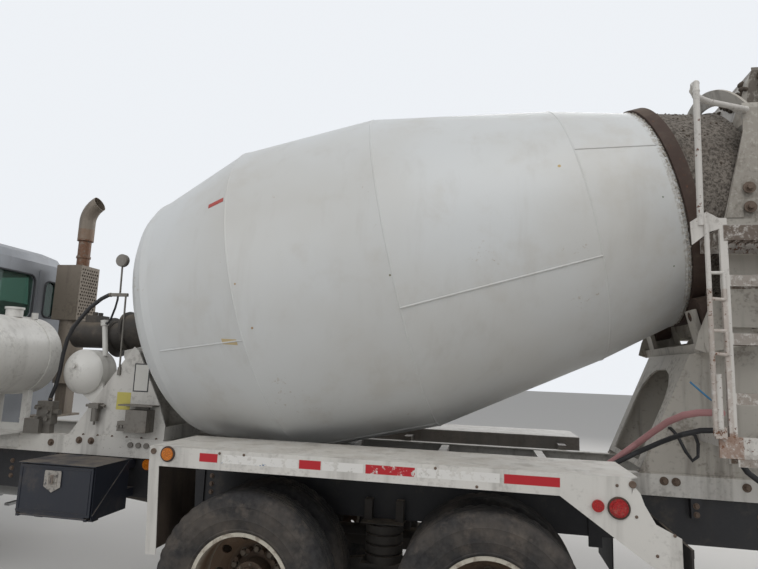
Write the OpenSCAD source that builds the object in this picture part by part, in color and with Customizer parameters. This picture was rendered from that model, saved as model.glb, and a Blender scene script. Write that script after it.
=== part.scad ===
// Rear discharge concrete mixer truck, conventional cab, tandem drive axles.
// X runs to the front of the truck, Y to its left side, Z up. The ground is z = 0.
// Stations along X are measured from the middle of the tandem and moved to the origin by datum_x.

/* [Layout] */
// Place of the tandem's middle along X, seen from the model's origin
datum_x = -1445; // [-1600:5:-1300]
// Distance between the two drive axles
tandem_gap = 1372; // [1300:2:1450]
// Distance from the tandem's middle to the front axle
wheelbase = 5780; // [5600:10:6000]

/* [Wheels] */
// Outer radius of the drive tyres
tyre_r = 515; // [500:1:520]
// Width of one drive tyre
tyre_w = 279; // [250:1:290]
// Middle of the outer drive tyre, from the centre line
outer_tyre_y = 1078; // [1060:1:1080]
// Distance between the two tyres of a pair
dual_gap = 336; // [320:1:340]
// Outer radius of the front tyres
front_tyre_r = 535; // [520:1:540]
// Width of a front tyre
front_tyre_w = 315; // [290:1:330]
// Middle of a front tyre, from the centre line
front_tyre_y = 1040; // [1020:1:1050]
// Radius of the bead seat on every rim
rim_r = 286; // [280:1:292]
// Kingpin place, from the centre line
kingpin_y = 850; // [840:1:860]

/* [Frame] */
// Height of the underside of the frame rails
rail_z = 770; // [760:1:780]
// Depth of the frame rails
rail_h = 280; // [260:1:290]
// Half the width over the frame rails
rail_y = 432; // [425:1:440]
// Width of the rail flanges
rail_flange = 90; // [70:1:100]
// Thickness of the rails
rail_t = 10; // [8:1:14]
// Gap between the rear end of the rails and the middle of the chute's post
rail_gap = 200; // [190:5:220]
// Depth of the mixer's own subframe
sub_h = 130; // [110:1:135]
// Half the width over the subframe
sub_y = 470; // [460:1:480]

/* [Drum] */
// Height of the drum axis above the tandem's middle
axis_z = 2503; // [2495:1:2520]
// Tilt of the drum axis
tilt = 13; // [12:0.1:14]
// Largest outer radius of the drum
drum_r = 1189; // [1150:1:1192]
// Thickness of the drum wall
drum_wall = 8; // [5:0.5:12]
// Station of the first seam along the axis
seam0 = -911; // [-930:1:-890]
// Station of the second seam
seam1 = 73; // [50:1:100]
// Station of the third seam
seam2 = 1301; // [1280:1:1320]
// Radius at the third seam
seam2_r = 938; // [920:1:950]
// Station of the track ring
ring_s = 1895; // [1890:1:1900]
// Width of the track ring
ring_w = 80; // [76:1:90]
// Outer radius of the track ring
ring_r = 805; // [803:1:812]
// Station of the drum's mouth
mouth_s = 2377; // [2360:1:2390]
// Radius of the drum's mouth
mouth_r = 642; // [620:1:650]
// Radius of a drum roller
roller_r = 112; // [100:1:115]
// Angle of the rollers from the lowest point of the ring
roller_a = 33; // [30:0.5:35]

/* [Cab] */
// Rear face of the cab
cab_rear = 3840; // [3800:5:3860]
// Half the width of the cab
cab_y = 1030; // [1000:5:1040]
// Thickness of the cab's walls and doors
cab_wall = 50; // [40:1:60]
// Thickness of the window glass
glass_t = 6; // [5:0.5:8]

/* [Fenders] */
// Top of the rear fenders
fender_z = 1263; // [1255:1:1270]
// Outer edge of the rear fenders
fender_y = 1220; // [1215:1:1230]
// Width of a rear fender
fender_w = 558; // [540:1:570]
// Depth of the fender skirts
skirt_h = 112; // [90:1:120]
// Thickness of fender sheet
sheet_t = 5; // [4:0.5:6]

/* [Chute] */
// Distance from the swivel post to the tandem's middle
post_x = 2720; // [2700:5:2740]
// Radius of the swivel post
post_r = 45; // [40:1:48]
// Outer radius of the chute trough
trough_r = 275; // [260:1:285]
// Thickness of the trough
trough_t = 5; // [4:0.5:8]
// Length of the main chute
chute_len = 1450; // [1400:5:1500]
// Length of the folding chute
fold_len = 790; // [740:5:800]

/* [Hidden] */
$fn = 72;

rail_rear = rail_gap - post_x;
nose_x = wheelbase + 880;
rail_front = nose_x - 160;
bumper_x = nose_x + 80;
hood_x = nose_x + 40;
hood_z = 790;
ped_rear = rail_rear + 120;
rail_top = rail_z + rail_h;
sub_top = rail_top + sub_h;
axle_x = tandem_gap / 2;
inner_tyre_y = outer_tyre_y - dual_gap;
fit = 0.05;

function rad_at(s) = s < seam0 ? drum_r - (seam0 - s) * 0.3135 :
  s < seam1 ? drum_r :
  s < seam2 ? drum_r - (s - seam1) * (drum_r - seam2_r) / (seam2 - seam1) :
  seam2_r - (s - seam2) * (seam2_r - mouth_r) / (mouth_s - seam2);
head_s = seam0 - 672;
head_r = rad_at(head_s);
head_depth = 318;
hub_r = 150;
hub_s = head_s - head_depth;

module at_datum() { translate([datum_x, 0, 0]) children(); }
module both() { children(); mirror([0, 1, 0]) children(); }
module bx(x0, x1, y0, y1, z0, z1) {
  translate([x0, y0, z0]) cube([x1 - x0, y1 - y0, z1 - z0]);
}
module xcyl(x0, x1, y, z, r) { translate([x0, y, z]) rotate([0, 90, 0]) cylinder(r = r, h = x1 - x0); }
module ycyl(y0, y1, x, z, r) { translate([x, y0, z]) rotate([-90, 0, 0]) cylinder(r = r, h = y1 - y0); }
module zcyl(z0, z1, x, y, r) { translate([x, y, z0]) cylinder(r = r, h = z1 - z0); }
// Plate with its outline in the XZ plane
module xz(y0, y1) { translate([0, y1, 0]) rotate([90, 0, 0]) linear_extrude(y1 - y0) children(); }
// Plate with its outline in the YZ plane
module yz(x0, x1) { translate([x0, 0, 0]) rotate([90, 0, 90]) linear_extrude(x1 - x0) children(); }
// Rectangle with round corners
module soft(a0, a1, b0, b1, r) {
  translate([a0 + r, b0]) square([a1 - a0 - 2 * r, b1 - b0]);
  translate([a0, b0 + r]) square([a1 - a0, b1 - b0 - 2 * r]);
  for (a = [a0 + r, a1 - r]) for (b = [b0 + r, b1 - r]) translate([a, b]) circle(r = r);
}
// Open frame of flat bars
module frame2d(a0, a1, b0, b1, w) {
  difference() {
    translate([a0, b0]) square([a1 - a0, b1 - b0]);
    translate([a0 + w, b0 + w]) square([a1 - a0 - 2 * w, b1 - b0 - 2 * w]);
  }
}
// Local Z runs along the drum axis to the mouth, local X up
module on_drum() { translate([0, 0, axis_z]) rotate([0, tilt - 90, 0]) children(); }
// Rod between two points
module rod(a, b, r) {
  d = b - a;
  translate(a) rotate([0, acos(d[2] / norm(d)), atan2(d[1], d[0])]) cylinder(r = r, h = norm(d));
}
// Solid between two four cornered faces, both listed the same way round
module block8(a, b) {
  polyhedron(points = concat(a, b), faces = [[0, 1, 2, 3], [7, 6, 5, 4], [0, 4, 5, 1], [1, 5, 6, 2],
    [2, 6, 7, 3], [3, 7, 4, 0]]);
}
// Hose swept along round points
function unit(v) = v / norm(v);
function sweep_dir(p, i) = i == 0 ? unit(p[1] - p[0]) : i == len(p) - 1 ? unit(p[i] - p[i - 1]) :
  unit(unit(p[i + 1] - p[i]) + unit(p[i] - p[i - 1]));
module hose(p, r, n, ref = [0.11, 0.23, 1]) {
  pts = [for (i = [0 : len(p) - 1]) let (d = sweep_dir(p, i), u = unit(cross(d, ref)),
    v = cross(d, u)) for (k = [0 : n - 1]) p[i] + r * (cos(360 * k / n) * u + sin(360 * k / n) * v)];
  m = len(p) - 1;
  polyhedron(points = pts, faces = concat([[for (k = [0 : n - 1]) k]],
    [[for (k = [n - 1 : -1 : 0]) m * n + k]],
    [for (i = [0 : m - 1]) for (k = [0 : n - 1]) let (j = (k + 1) % n)
      [i * n + k, (i + 1) * n + k, (i + 1) * n + j, i * n + j]]));
}

// Frame rails and crossmembers
module channel(x0, x1, y, z0, h, flange, t) {
  difference() {
    bx(x0, x1, y - flange, y, z0, z0 + h);
    bx(x0 - 1, x1 + 1, y - flange - 1, y - t, z0 + t, z0 + h - t);
  }
}
cross_stations = [rail_rear + 80, -1180, -60, 1180, 2600, 3850, 4200];
module chassis_frame() {
  web = rail_y - rail_t;
  color("dimgray") at_datum() {
    both() channel(rail_rear, rail_front, rail_y, rail_z, rail_h, rail_flange, rail_t);
    for (x = cross_stations) {
      bx(x, x + 10, -web, web, rail_z + 100, rail_top - 30);
      bx(x + 10, x + 70, -web, web, rail_z + 100, rail_z + 108);
      bx(x + 10, x + 70, -web, web, rail_top - 38, rail_top - 30);
    }
    bx(nose_x - 360, nose_x - 270, -web, web, rail_z + rail_t, rail_z + 90);
    // Horns that carry the bumper and the hood pivots
    both() difference() {
      union() {
        xz(rail_y - 62, rail_y - 12) polygon([[rail_front - 50, rail_z + 5], [rail_front - 50, 650],
          [bumper_x, 560], [bumper_x, 730], [nose_x, 755], [rail_front, rail_z + 5]]);
        xz(rail_y - 62, rail_y - 12) polygon([[nose_x - 20, 740], [bumper_x, 700],
          [hood_x + 25, hood_z], [hood_x - 20, hood_z + 12], [nose_x, hood_z - 20]]);
      }
      ycyl(rail_y - 70, rail_y, hood_x, hood_z, 10 + fit);
    }
    // Suspension hangers and the plates that tie the subframe down
    both() for (x = [axle_x + 620, -axle_x - 700])
      bx(x, x + 80, rail_y, rail_y + 14, rail_z - 60, rail_top - 20);
    both() for (x = [-1960, 1400, 2500, 3420]) bx(x, x + 60, rail_y, sub_y, rail_top - 120, rail_top);
  }
}

module subframe() {
  color("gainsboro") at_datum() {
    both() channel(rail_rear + 40, 3640, sub_y, rail_top, sub_h, 75, 8);
    for (x = [ped_rear + 100, -1560, 1500, 1680, 2420, 3560])
      bx(x, x + 80, -sub_y + 8, sub_y - 8, rail_top + 8, rail_top + 50);
    // Wide deck over the tandem, seen between the drum and the fenders
    for (x = [-1100, -380, 340, 1060]) bx(x, x + 60, -sub_y + 8, sub_y - 8, sub_top - 48, sub_top - 8);
  }
}

module front_bumper() {
  color("lightgray") at_datum() translate([bumper_x, 0, 0]) {
    difference() {
      bx(0, 90, -1150, 1150, 450, 770);
      bx(-5, 78, -1140, 1140, 462, 758);
      // Bevelled ends and the fog lamp holes
      both() translate([90, 1060, 440]) rotate([0, 0, 30]) cube([120, 200, 340]);
      both() xcyl(70, 100, 860, 600, 70);
    }
    // Tow plates
    both() difference() {
      bx(0, 82, 352, 377, 350, 758);
      ycyl(345, 380, 45, 400, 22);
    }
  }
}

module powertrain() {
  color("dimgray") at_datum() {
    // Engine and radiator, each one plain block
    bx(5260, nose_x - 410, -260, 260, 800, 1560);
    bx(nose_x - 360, nose_x - 270, -330, 330, 860, 1580);
    // Transmission and drive shafts
    xcyl(4450, 5260, 0, 900, 180);
    xcyl(4330, 4452, 0, 830, 90);
    rod([4340, 0, 800], [2900, 0, 770], 48);
    rod([2900, 0, 770], [axle_x + 335, 0, tyre_r + 60], 45);
    bx(2860, 2940, -70, 70, 700, 850);
    rod([axle_x - 208, 0, tyre_r + 60], [330 - axle_x, 0, tyre_r + 60], 40);
  }
}

module rear_axles() {
  color("dimgray") at_datum() {
    for (x = [axle_x, -axle_x]) {
      ycyl(-inner_tyre_y - 100, inner_tyre_y + 100, x, tyre_r, 70);
      translate([x, 0, tyre_r]) sphere(r = 205);
      xcyl(x + 120, x + 330, 0, tyre_r + 60, 75);
      both() ycyl(490, 590, x, tyre_r, 170);
    }
  }
}

module rear_suspension() {
  mid_x = -9;
  color("black") at_datum() {
    both() {
      // Walking beam under both axles
      xz(330, 400) polygon([[-axle_x - 90, 385], [-axle_x - 90, 432], [-axle_x + 130, 439],
        [mid_x - 150, 500], [mid_x + 150, 500], [axle_x - 130, 439], [axle_x + 90, 432],
        [axle_x + 90, 385], [axle_x - 130, 380], [mid_x + 120, 360], [mid_x - 120, 360], [-axle_x + 130, 380]]);
      for (x = [axle_x, -axle_x]) bx(x - 60, x + 60, 330, 400, 430, tyre_r - 70);
      // Rubber spring pile with its steel plates
      bx(mid_x - 140, mid_x + 140, 330, 560, 496, 516);
      for (i = [0 : 3]) {
        zcyl(516 + i * 62, 562 + i * 62, mid_x, 440, 125);
        zcyl(562 + i * 62, 578 + i * 62, mid_x, 440, 104);
      }
      bx(mid_x - 140, mid_x + 140, 345, 570, 764, rail_z);
      for (x = [mid_x - 130, mid_x + 80]) bx(x, x + 50, rail_y, 500, rail_z, 900);
      // Torque rod and its hanger
      rod([axle_x + 20, 60, 739], [axle_x + 560, 200, 741], 28);
      rod([-axle_x + 20, 60, 739], [-axle_x + 560, 200, 741], 28);
      for (x = [axle_x + 520, -axle_x + 520]) bx(x, x + 90, 160, 342, 690, rail_z);
    }
  }
}

module front_axle() {
  color("dimgray") at_datum() translate([wheelbase, 0, 0]) {
    bx(-55, 55, -560, 560, 400, 500);
    both() {
      block8([[50, 560, 400], [-50, 560, 400], [-50, 560, 500], [50, 560, 500]],
        [[50, 760, 470], [-50, 760, 470], [-50, 760, 590], [50, 760, 590]]);
      difference() {
        union() {
          bx(-50, 50, 760, kingpin_y, 470, 590);
          zcyl(470, 590, 0, kingpin_y, 60);
        }
        zcyl(460, 600, 0, kingpin_y, 25 + fit);
      }
      // Leaf spring with its hangers
      xz(370, 460) polygon([[-700, 690], [-350, 560], [-60, 512], [60, 512], [350, 560], [620, 690],
        [620, 730], [350, 610], [60, 560], [-60, 560], [-350, 610], [-700, 730]]);
      bx(-80, 80, 365, 465, 500, 512);
      bx(-80, 80, 365, 465, 560, 590);
      bx(-740, -660, 372, 432, 700, rail_z);
      bx(580, 660, 372, 432, 700, rail_z);
    }
  }
}

module knuckle(side) {
  color("dimgray") at_datum() translate([wheelbase, 0, 0]) mirror([0, side < 0 ? 1 : 0, 0]) {
    zcyl(428, 632, 0, kingpin_y, 25);
    difference() {
      union() {
        zcyl(425, 469, 0, kingpin_y, 58);
        zcyl(591, 635, 0, kingpin_y, 58);
        bx(-55, 55, kingpin_y + 62, kingpin_y + 95, 425, 635);
        bx(-55, 55, kingpin_y, kingpin_y + 64, 425, 469);
        bx(-55, 55, kingpin_y, kingpin_y + 64, 591, 635);
        // Steering arm
        bx(-330, 0, kingpin_y - 28, kingpin_y + 22, 425, 460);
      }
      zcyl(400, 650, -300, kingpin_y, 14 + fit);
    }
    ycyl(kingpin_y + 95, front_tyre_y + 90, 0, front_tyre_r, 45);
    ycyl(kingpin_y + 90, kingpin_y + 112, 0, front_tyre_r, 190);
  }
}
module knuckle_left() { knuckle(1); }
module knuckle_right() { knuckle(-1); }
module tie_rod() {
  color("gray") at_datum() translate([wheelbase - 300, 0, 0]) {
    ycyl(-kingpin_y, kingpin_y, 0, 395, 18);
    both() zcyl(385, 459, 0, kingpin_y, 14);
    both() zcyl(374, 416, 0, kingpin_y, 28);
  }
}

rim_w = tyre_w * 0.76 + 12;
front_rim_w = front_tyre_w * 0.76 + 12;
// Tyre profile turned about the wheel axis
module tyre(r, w) {
  rotate([-90, 0, 0]) rotate_extrude() polygon([[rim_r, -w * 0.34], [rim_r + 15, -w * 0.38], [rim_r + 22, -w * 0.42],
    [(rim_r + r) / 2, -w * 0.5], [r - 62, -w * 0.48], [r - 24, -w * 0.43], [r - 8, -w * 0.36], [r, -w * 0.2],
    [r, w * 0.2], [r - 8, w * 0.36], [r - 24, w * 0.43], [r - 62, w * 0.48], [(rim_r + r) / 2, w * 0.5],
    [rim_r + 22, w * 0.42], [rim_r + 15, w * 0.38], [rim_r, w * 0.34]]);
}
// Steel rim barrel about its own middle
module barrel(w) {
  rotate([-90, 0, 0]) rotate_extrude() polygon([[rim_r + 14, -w / 2], [rim_r + 14, -w / 2 + 6],
    [rim_r, -w / 2 + 10], [rim_r, w / 2 - 10], [rim_r + 14, w / 2 - 6], [rim_r + 14, w / 2], [rim_r - 8, w / 2],
    [rim_r - 14, 0], [rim_r - 8, -w / 2]]);
}
// Wheel disc bent away from the flange face at y = 0 towards +y
module disc(depth) {
  difference() {
    rotate([-90, 0, 0]) rotate_extrude() polygon([[98.25, 0], [190, 0], [230, depth * 0.6], [rim_r - 10, depth],
      [rim_r - 10, depth + 12], [222, depth * 0.6 + 12], [184, 12], [98.25, 12]]);
    for (a = [0 : 36 : 359]) rotate([0, a, 0]) translate([228, -50, 0]) rotate([-90, 0, 0]) cylinder(r = 26, h = 200);
  }
}
module drive_tyres(x, side) {
  color("black") at_datum() translate([x, 0, tyre_r]) mirror([0, side < 0 ? 1 : 0, 0]) {
    translate([0, outer_tyre_y, 0]) tyre(tyre_r, tyre_w);
    translate([0, inner_tyre_y, 0]) tyre(tyre_r, tyre_w);
  }
}
module drive_rims(x, side) {
  mid = (outer_tyre_y + inner_tyre_y) / 2;
  color("sienna") at_datum() translate([x, 0, tyre_r]) mirror([0, side < 0 ? 1 : 0, 0]) {
    translate([0, outer_tyre_y, 0]) barrel(rim_w);
    translate([0, inner_tyre_y, 0]) barrel(rim_w);
    translate([0, mid, 0]) disc(60);
    translate([0, mid, 0]) mirror([0, 1, 0]) disc(60);
    difference() {
      union() {
        ycyl(inner_tyre_y + 104, mid + 12, 0, 0, 98);
        ycyl(mid + 12, mid + 120, 0, 0, 98);
        ycyl(mid + 120, mid + 150, 0, 0, 70);
      }
      ycyl(inner_tyre_y, inner_tyre_y + 100 + fit, 0, 0, 70 + fit);
    }
    for (a = [0 : 36 : 359]) rotate([0, a, 0]) ycyl(mid + 12, mid + 62, 143, 0, 14);
  }
}
module tyres_mid_left() { drive_tyres(axle_x, 1); }
module tyres_mid_right() { drive_tyres(axle_x, -1); }
module tyres_rear_left() { drive_tyres(-axle_x, 1); }
module tyres_rear_right() { drive_tyres(-axle_x, -1); }
module rims_mid_left() { drive_rims(axle_x, 1); }
module rims_mid_right() { drive_rims(axle_x, -1); }
module rims_rear_left() { drive_rims(-axle_x, 1); }
module rims_rear_right() { drive_rims(-axle_x, -1); }
module front_tyre(side) {
  color("black") at_datum() translate([wheelbase, side * front_tyre_y, front_tyre_r]) tyre(front_tyre_r, front_tyre_w);
}
module front_rim(side) {
  color("sienna") at_datum() translate([wheelbase, 0, front_tyre_r]) mirror([0, side < 0 ? 1 : 0, 0]) {
    translate([0, front_tyre_y, 0]) barrel(front_rim_w);
    translate([0, front_tyre_y + 75, 0]) mirror([0, 1, 0]) disc(60);
    difference() {
      ycyl(front_tyre_y - 60, front_tyre_y + 140, 0, 0, 98);
      ycyl(front_tyre_y - 70, front_tyre_y + 93, 0, 0, 45 + fit);
    }
    for (a = [0 : 36 : 359]) rotate([0, a, 0]) ycyl(front_tyre_y + 75, front_tyre_y + 105, 143, 0, 14);
  }
}
module tyre_front_left() { front_tyre(1); }
module tyre_front_right() { front_tyre(-1); }
module rim_front_left() { front_rim(1); }
module rim_front_right() { front_rim(-1); }

// Cab outline from the side, each point with the way it moves when the outline is drawn in
cab_side = [[cab_rear, 1100, 1, 1], [cab_rear, 2700, 1, -0.7], [cab_rear + 40, 2780, 0.8, -0.9], [cab_rear + 130, 2825, 0.4, -1],
  [4560, 2862, 0, -1], [4740, 2830, -0.5, -1], [4800, 2760, -1, -0.6], [5170, 1960, -1, -0.4], [5195, 1900, -1, -0.3],
  [5195, 1840, -1, 0.4], [5075, 1780, -1, 0.6], [5075, 1100, -1, 1]];
cab_front = [[-cab_y, 1100, 1, 1], [cab_y, 1100, -1, 1], [cab_y, 1960, -1, 0], [cab_y - 62, 2700, -1, -0.3],
  [cab_y - 110, 2780, -0.7, -0.8], [cab_y - 260, 2835, -0.3, -1], [0, 2862, 0, -1], [-cab_y + 260, 2835, 0.3, -1],
  [-cab_y + 110, 2780, 0.7, -0.8], [-cab_y + 62, 2700, 1, -0.3], [-cab_y, 1960, 1, 0]];
function drawn_in(list, w) = [for (p = list) [p[0] + p[2] * w, p[1] + p[3] * w]];
module cab_solid(w) {
  intersection() {
    xz(-1100, 1100) polygon(drawn_in(cab_side, w));
    yz(3800, 5300) polygon(drawn_in(cab_front, w));
  }
}
door_outline = [[4130, 1150], [5005, 1150], [5005, 1900], [4660, 2650], [4600, 2690], [4150, 2690], [4130, 2670]];
door_window = [[4210, 2000], [4880, 2000], [4625, 2560], [4590, 2600], [4230, 2600], [4210, 2580]];
module rear_windows(g) {
  yz(cab_rear - 60, cab_rear + 120) {
    soft(g - 600, 600 - g, 2137 + g, 2560 - g, 60);
    soft(756 + g, 915 - g, 2167 + g, 2525 - g, 50);
    soft(g - 915, -756 - g, 2167 + g, 2525 - g, 50);
  }
}
module windshield_cut(g) {
  bx(4700, 5300, 25 + g, cab_y - 150 - g, 2030 + g, 2700 - g);
  bx(4700, 5300, -cab_y + 150 + g, -25 - g, 2030 + g, 2700 - g);
}
module cab_shell() {
  color("silver") at_datum() {
    difference() {
      cab_solid(0);
      cab_solid(cab_wall);
      xz(-1200, 1200) polygon(door_outline);
      rear_windows(0);
      windshield_cut(0);
    }
    // Door hinge blocks
    both() for (z = [1300, 1780]) for (k = [-22, 62]) difference() {
      bx(4998, 5060, cab_y - 10, cab_y + 22, z + k, z + k + 20);
      zcyl(z + k - 1, z + k + 21, 5008, cab_y + 12, 8 + fit);
    }
    // Sill posts that carry the cab on the frame
    both() for (x = [4020, 4900]) bx(x, x + 100, 330, 420, rail_top, 1100);
    // Entry steps
    both() {
      bx(4200, 4900, 960, 1090, 1070, 1100);
      for (x = [4240, 4840]) bx(x, x + 12, 960, 1090, 500, 1070);
      bx(4240, 4852, 960, 1090, 500, 512);
      bx(4252, 4840, 960, 1090, 780, 792);
    }
    // Sun visor over the windshield
    xz(-900, 900) polygon([[4735, 2790], [4950, 2700], [4958, 2712], [4740, 2822]]);
    // Upright rib on each side of the rear windows
    both() yz(cab_rear - 8, cab_rear) soft(655, 700, 1180, 2640, 20);
  }
}
module cab_glass() {
  color("darkseagreen", 0.5) at_datum() intersection() {
    difference() {
      cab_solid(20);
      cab_solid(20 + glass_t);
    }
    union() {
      rear_windows(0);
      windshield_cut(0);
    }
  }
}
module half_y(side) { translate([3000, side > 0 ? 0 : -2000, 500]) cube([3000, 2000, 3000]); }
module door(side) {
  color("silver") at_datum() {
    intersection() {
      half_y(side);
      difference() {
        cab_solid(0);
        cab_solid(cab_wall);
        xz(-1200, 1200) polygon(door_window);
      }
      xz(-1200, 1200) polygon([[4138, 1158], [4997, 1158], [4997, 1898], [4653, 2643], [4597, 2682], [4154, 2682], [4138, 2666]]);
    }
    mirror([0, side < 0 ? 1 : 0, 0]) {
      // Hinge pins and their straps
      for (z = [1300, 1780]) {
        bx(4940, 5008, cab_y, cab_y + 20, z, z + 60);
        zcyl(z - 20, z + 80, 5008, cab_y + 12, 8);
      }
      // Handle
      bx(4200, 4330, cab_y, cab_y + 25, 1800, 1830);
      // Mirror arms and head
      rod([4800, cab_y - 22, 2280], [4960, cab_y + 190, 2380], 10);
      rod([4900, cab_y - 12, 1860], [4960, cab_y + 190, 1800], 10);
      bx(4940, 4990, cab_y + 110, cab_y + 300, 1780, 2400);
    }
  }
}
module door_glass(side) {
  color("darkseagreen", 0.5) at_datum() intersection() {
    half_y(side);
    difference() {
      cab_solid(20);
      cab_solid(20 + glass_t);
    }
    xz(-1200, 1200) polygon(door_window);
  }
}
module door_left() { door(1); }
module door_right() { door(-1); }
module door_glass_left() { door_glass(1); }
module door_glass_right() { door_glass(-1); }

module cab_interior() {
  color("darkslategray") at_datum() {
    both() {
      bx(4180, 4340, 400, 720, 1150, 1450);
      bx(4130, 4640, 360, 860, 1450, 1590);
      translate([4210, 365, 1560]) rotate([0, -10, 0]) cube([110, 490, 740]);
    }
    // Dash
    xz(-cab_y + 80, cab_y - 80) polygon([[5020, 1200], [5020, 1820], [4900, 1800], [4800, 1700], [4800, 1520], [4900, 1480], [4960, 1200]]);
    rod([4880, 560, 1581.2], [4696, 560, 1754.4], 30);
  }
}
module steering_wheel() {
  color("black") at_datum() translate([4690, 560, 1760]) rotate([0, -46.7, 0]) {
    translate([0, 0, 45]) rotate_extrude() translate([215, 0]) circle(r = 15);
    cylinder(r = 40, h = 40);
    for (a = [0, 120, 240]) rotate([0, 0, a]) translate([30, -12, 35]) cube([175, 24, 12]);
  }
}

// Tilting hood with its fenders
hood_rear = 5215;
module hood_side(w) {
  polygon([[hood_rear + w, 1050], [hood_rear + w, 1900 - w], [hood_rear + 385, 1870 - w],
    [nose_x - 310, 1740 - w], [nose_x - 100, 1650 - w], [nose_x - 10 - w, 1500 - w * 0.6],
    [nose_x + 20 - w, 1200], [nose_x + 20 - w, 830], [nose_x - 60 - 2 * w, 830], [nose_x - 60 - 2 * w, 1050]]);
}
module hood_front(w) {
  polygon([[-760 + w, 800], [760 - w, 800], [760 - w, 1500], [700 - w, 1750 - w * 0.5], [560 - w * 0.5, 1860 - w], [0, 1905 - w],
    [-560 + w * 0.5, 1860 - w], [-700 + w, 1750 - w * 0.5], [-760 + w, 1500]]);
}
module hood() {
  color("silver") at_datum() {
    difference() {
      union() {
        difference() {
          intersection() {
            xz(-800, 800) hood_side(0);
            yz(hood_rear - 200, nose_x + 200) hood_front(0);
          }
          intersection() {
            xz(-800, 800) translate([0, -0.01]) hood_side(25);
            yz(hood_rear - 200, nose_x + 200) hood_front(25);
          }
          bx(hood_rear - 5, hood_rear + 30, -720, 720, 1000, 1860);
          bx(hood_rear - 65, nose_x - 40, -800, 800, 700, 1060);
        }
        // Front fenders
        both() translate([wheelbase, 0, 0]) difference() {
          xz(700, 1205) polygon([[-680, 640], [-680, 1280], [-580, 1350], [520, 1350], [740, 1290], [860, 1160],
            [880, 1000], [880, 640]]);
          xz(690, 1180) polygon([[-655, 630], [-655, 1270], [-570, 1325], [510, 1325], [725, 1268], [835, 1150],
            [855, 1000], [855, 630]]);
          ycyl(600, 1300, 0, front_tyre_r + 10, 660);
        }
      }
      both() bx(hood_rear - 65, nose_x - 60, 600, 740, 1050, 1320);
      bx(nose_x - 100, nose_x + 40, -460, 460, 900, 1480);
      both() yz(nose_x - 60, nose_x + 60) soft(770, 1130, 850, 1090, 60);
      // Louvres in the hood's sides
      both() for (i = [0 : 5]) bx(5420 + i * 90, 5450 + i * 90, 700, 800, 1420, 1600);
    }
    // Raised spine on top and the brow over the grille
    xz(-150, 150) polygon([[hood_rear + 60, 1890], [hood_rear + 60, 1915], [hood_rear + 385, 1890],
      [nose_x - 310, 1762], [nose_x - 150, 1690], [nose_x - 150, 1660], [nose_x - 310, 1735], [hood_rear + 385, 1865]]);
    // Pivot lugs
    both() {
      xz(rail_y - 8, rail_y + 12) polygon([[nose_x - 20, 900], [nose_x - 20, 840], [hood_x - 10, hood_z - 12],
        [hood_x + 14, hood_z - 4], [hood_x + 12, hood_z + 10], [nose_x + 15, 900]]);
      ycyl(rail_y - 60, rail_y - 7, hood_x, hood_z, 10);
    }
  }
}
module grille() {
  color("silver") at_datum() {
    yz(nose_x - 30, nose_x) frame2d(-459.75, 459.75, 900.25, 1479.75, 24.75);
    for (i = [0 : 10]) bx(nose_x - 28, nose_x - 2, -435, 435, 946 + i * 48, 962 + i * 48);
    bx(nose_x - 26, nose_x - 4, -12, 12, 925, 1455);
  }
}
// Round lamps behind one lens plate in each front fender
module headlamps() {
  color("whitesmoke") at_datum() both() {
    yz(nose_x - 26, nose_x - 18) soft(770.25, 1129.75, 850.25, 1089.75, 59.75);
    for (y = [862, 1038]) {
      xcyl(nose_x - 19, nose_x - 4, y, 970, 78);
      translate([nose_x - 94, y, 970]) rotate([0, 90, 0]) intersection() {
        sphere(r = 110);
        translate([0, 0, 90]) cylinder(r = 70, h = 30);
      }
    }
  }
}

module side_tanks() {
  tank_y = rail_y + 335;
  color("lightgray") at_datum() {
    both() {
      xcyl(3560, 4180, tank_y, 700, 300);
      for (x = [3660, 4040]) {
        xcyl(x, x + 50, tank_y, 700, 304);
        bx(x, x + 50, rail_y, rail_y + 40, 560, rail_top);
        bx(x, x + 50, rail_y, tank_y, 380, 402);
      }
      zcyl(960, 1030, 3960, tank_y + 60, 48);
      zcyl(1030, 1046, 3960, tank_y + 60, 56);
    }
  }
}

box_x0 = 1806;
box_x1 = 2362;
box_y0 = 600;
box_y1 = 960;
box_z0 = 730;
box_z1 = 1062;
module toolbox() {
  color("black") at_datum() {
    // Hinge knuckles at both ends of the door's pin
    for (x = [box_x0 + 20, box_x1 - 40]) difference() {
      bx(x, x + 20, box_y1, box_y1 + 22, box_z0 - 2, box_z0 + 14);
      xcyl(x - 1, x + 21, box_y1 + 14, box_z0 + 8, 5 + fit);
    }
    difference() {
      bx(box_x0, box_x1, box_y0, box_y1, box_z0, box_z1);
      bx(box_x0 + 6, box_x1 - 6, box_y0 + 6, box_y1 + 1, box_z0 + 6, box_z1 - 6);
    }
    // Drip edge over the door and the side struts
    bx(box_x0 - 6, box_x1 + 6, box_y0, box_y1 + 20, box_z1, box_z1 + 5);
    for (x = [box_x0 - 8, box_x1]) yz(x, x + 8) polygon([[box_y1 - 12, box_z0 + 10], [box_y1, box_z0 + 32],
      [box_y0 + 20, box_z1 - 4], [box_y0 + 8, box_z1 - 26]]);
    // Arms to the frame and the feet below
    for (x = [box_x0 + 60, box_x1 - 120]) {
      bx(x, x + 60, rail_y, box_y0, box_z0 + 50, box_z0 + 110);
      bx(x, x + 60, rail_y, box_y0, box_z1 - 82, box_z1 - 22);
      bx(x, x + 60, box_y0 + 200, box_y0 + 260, box_z0 - 34, box_z0);
    }
  }
}
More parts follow.
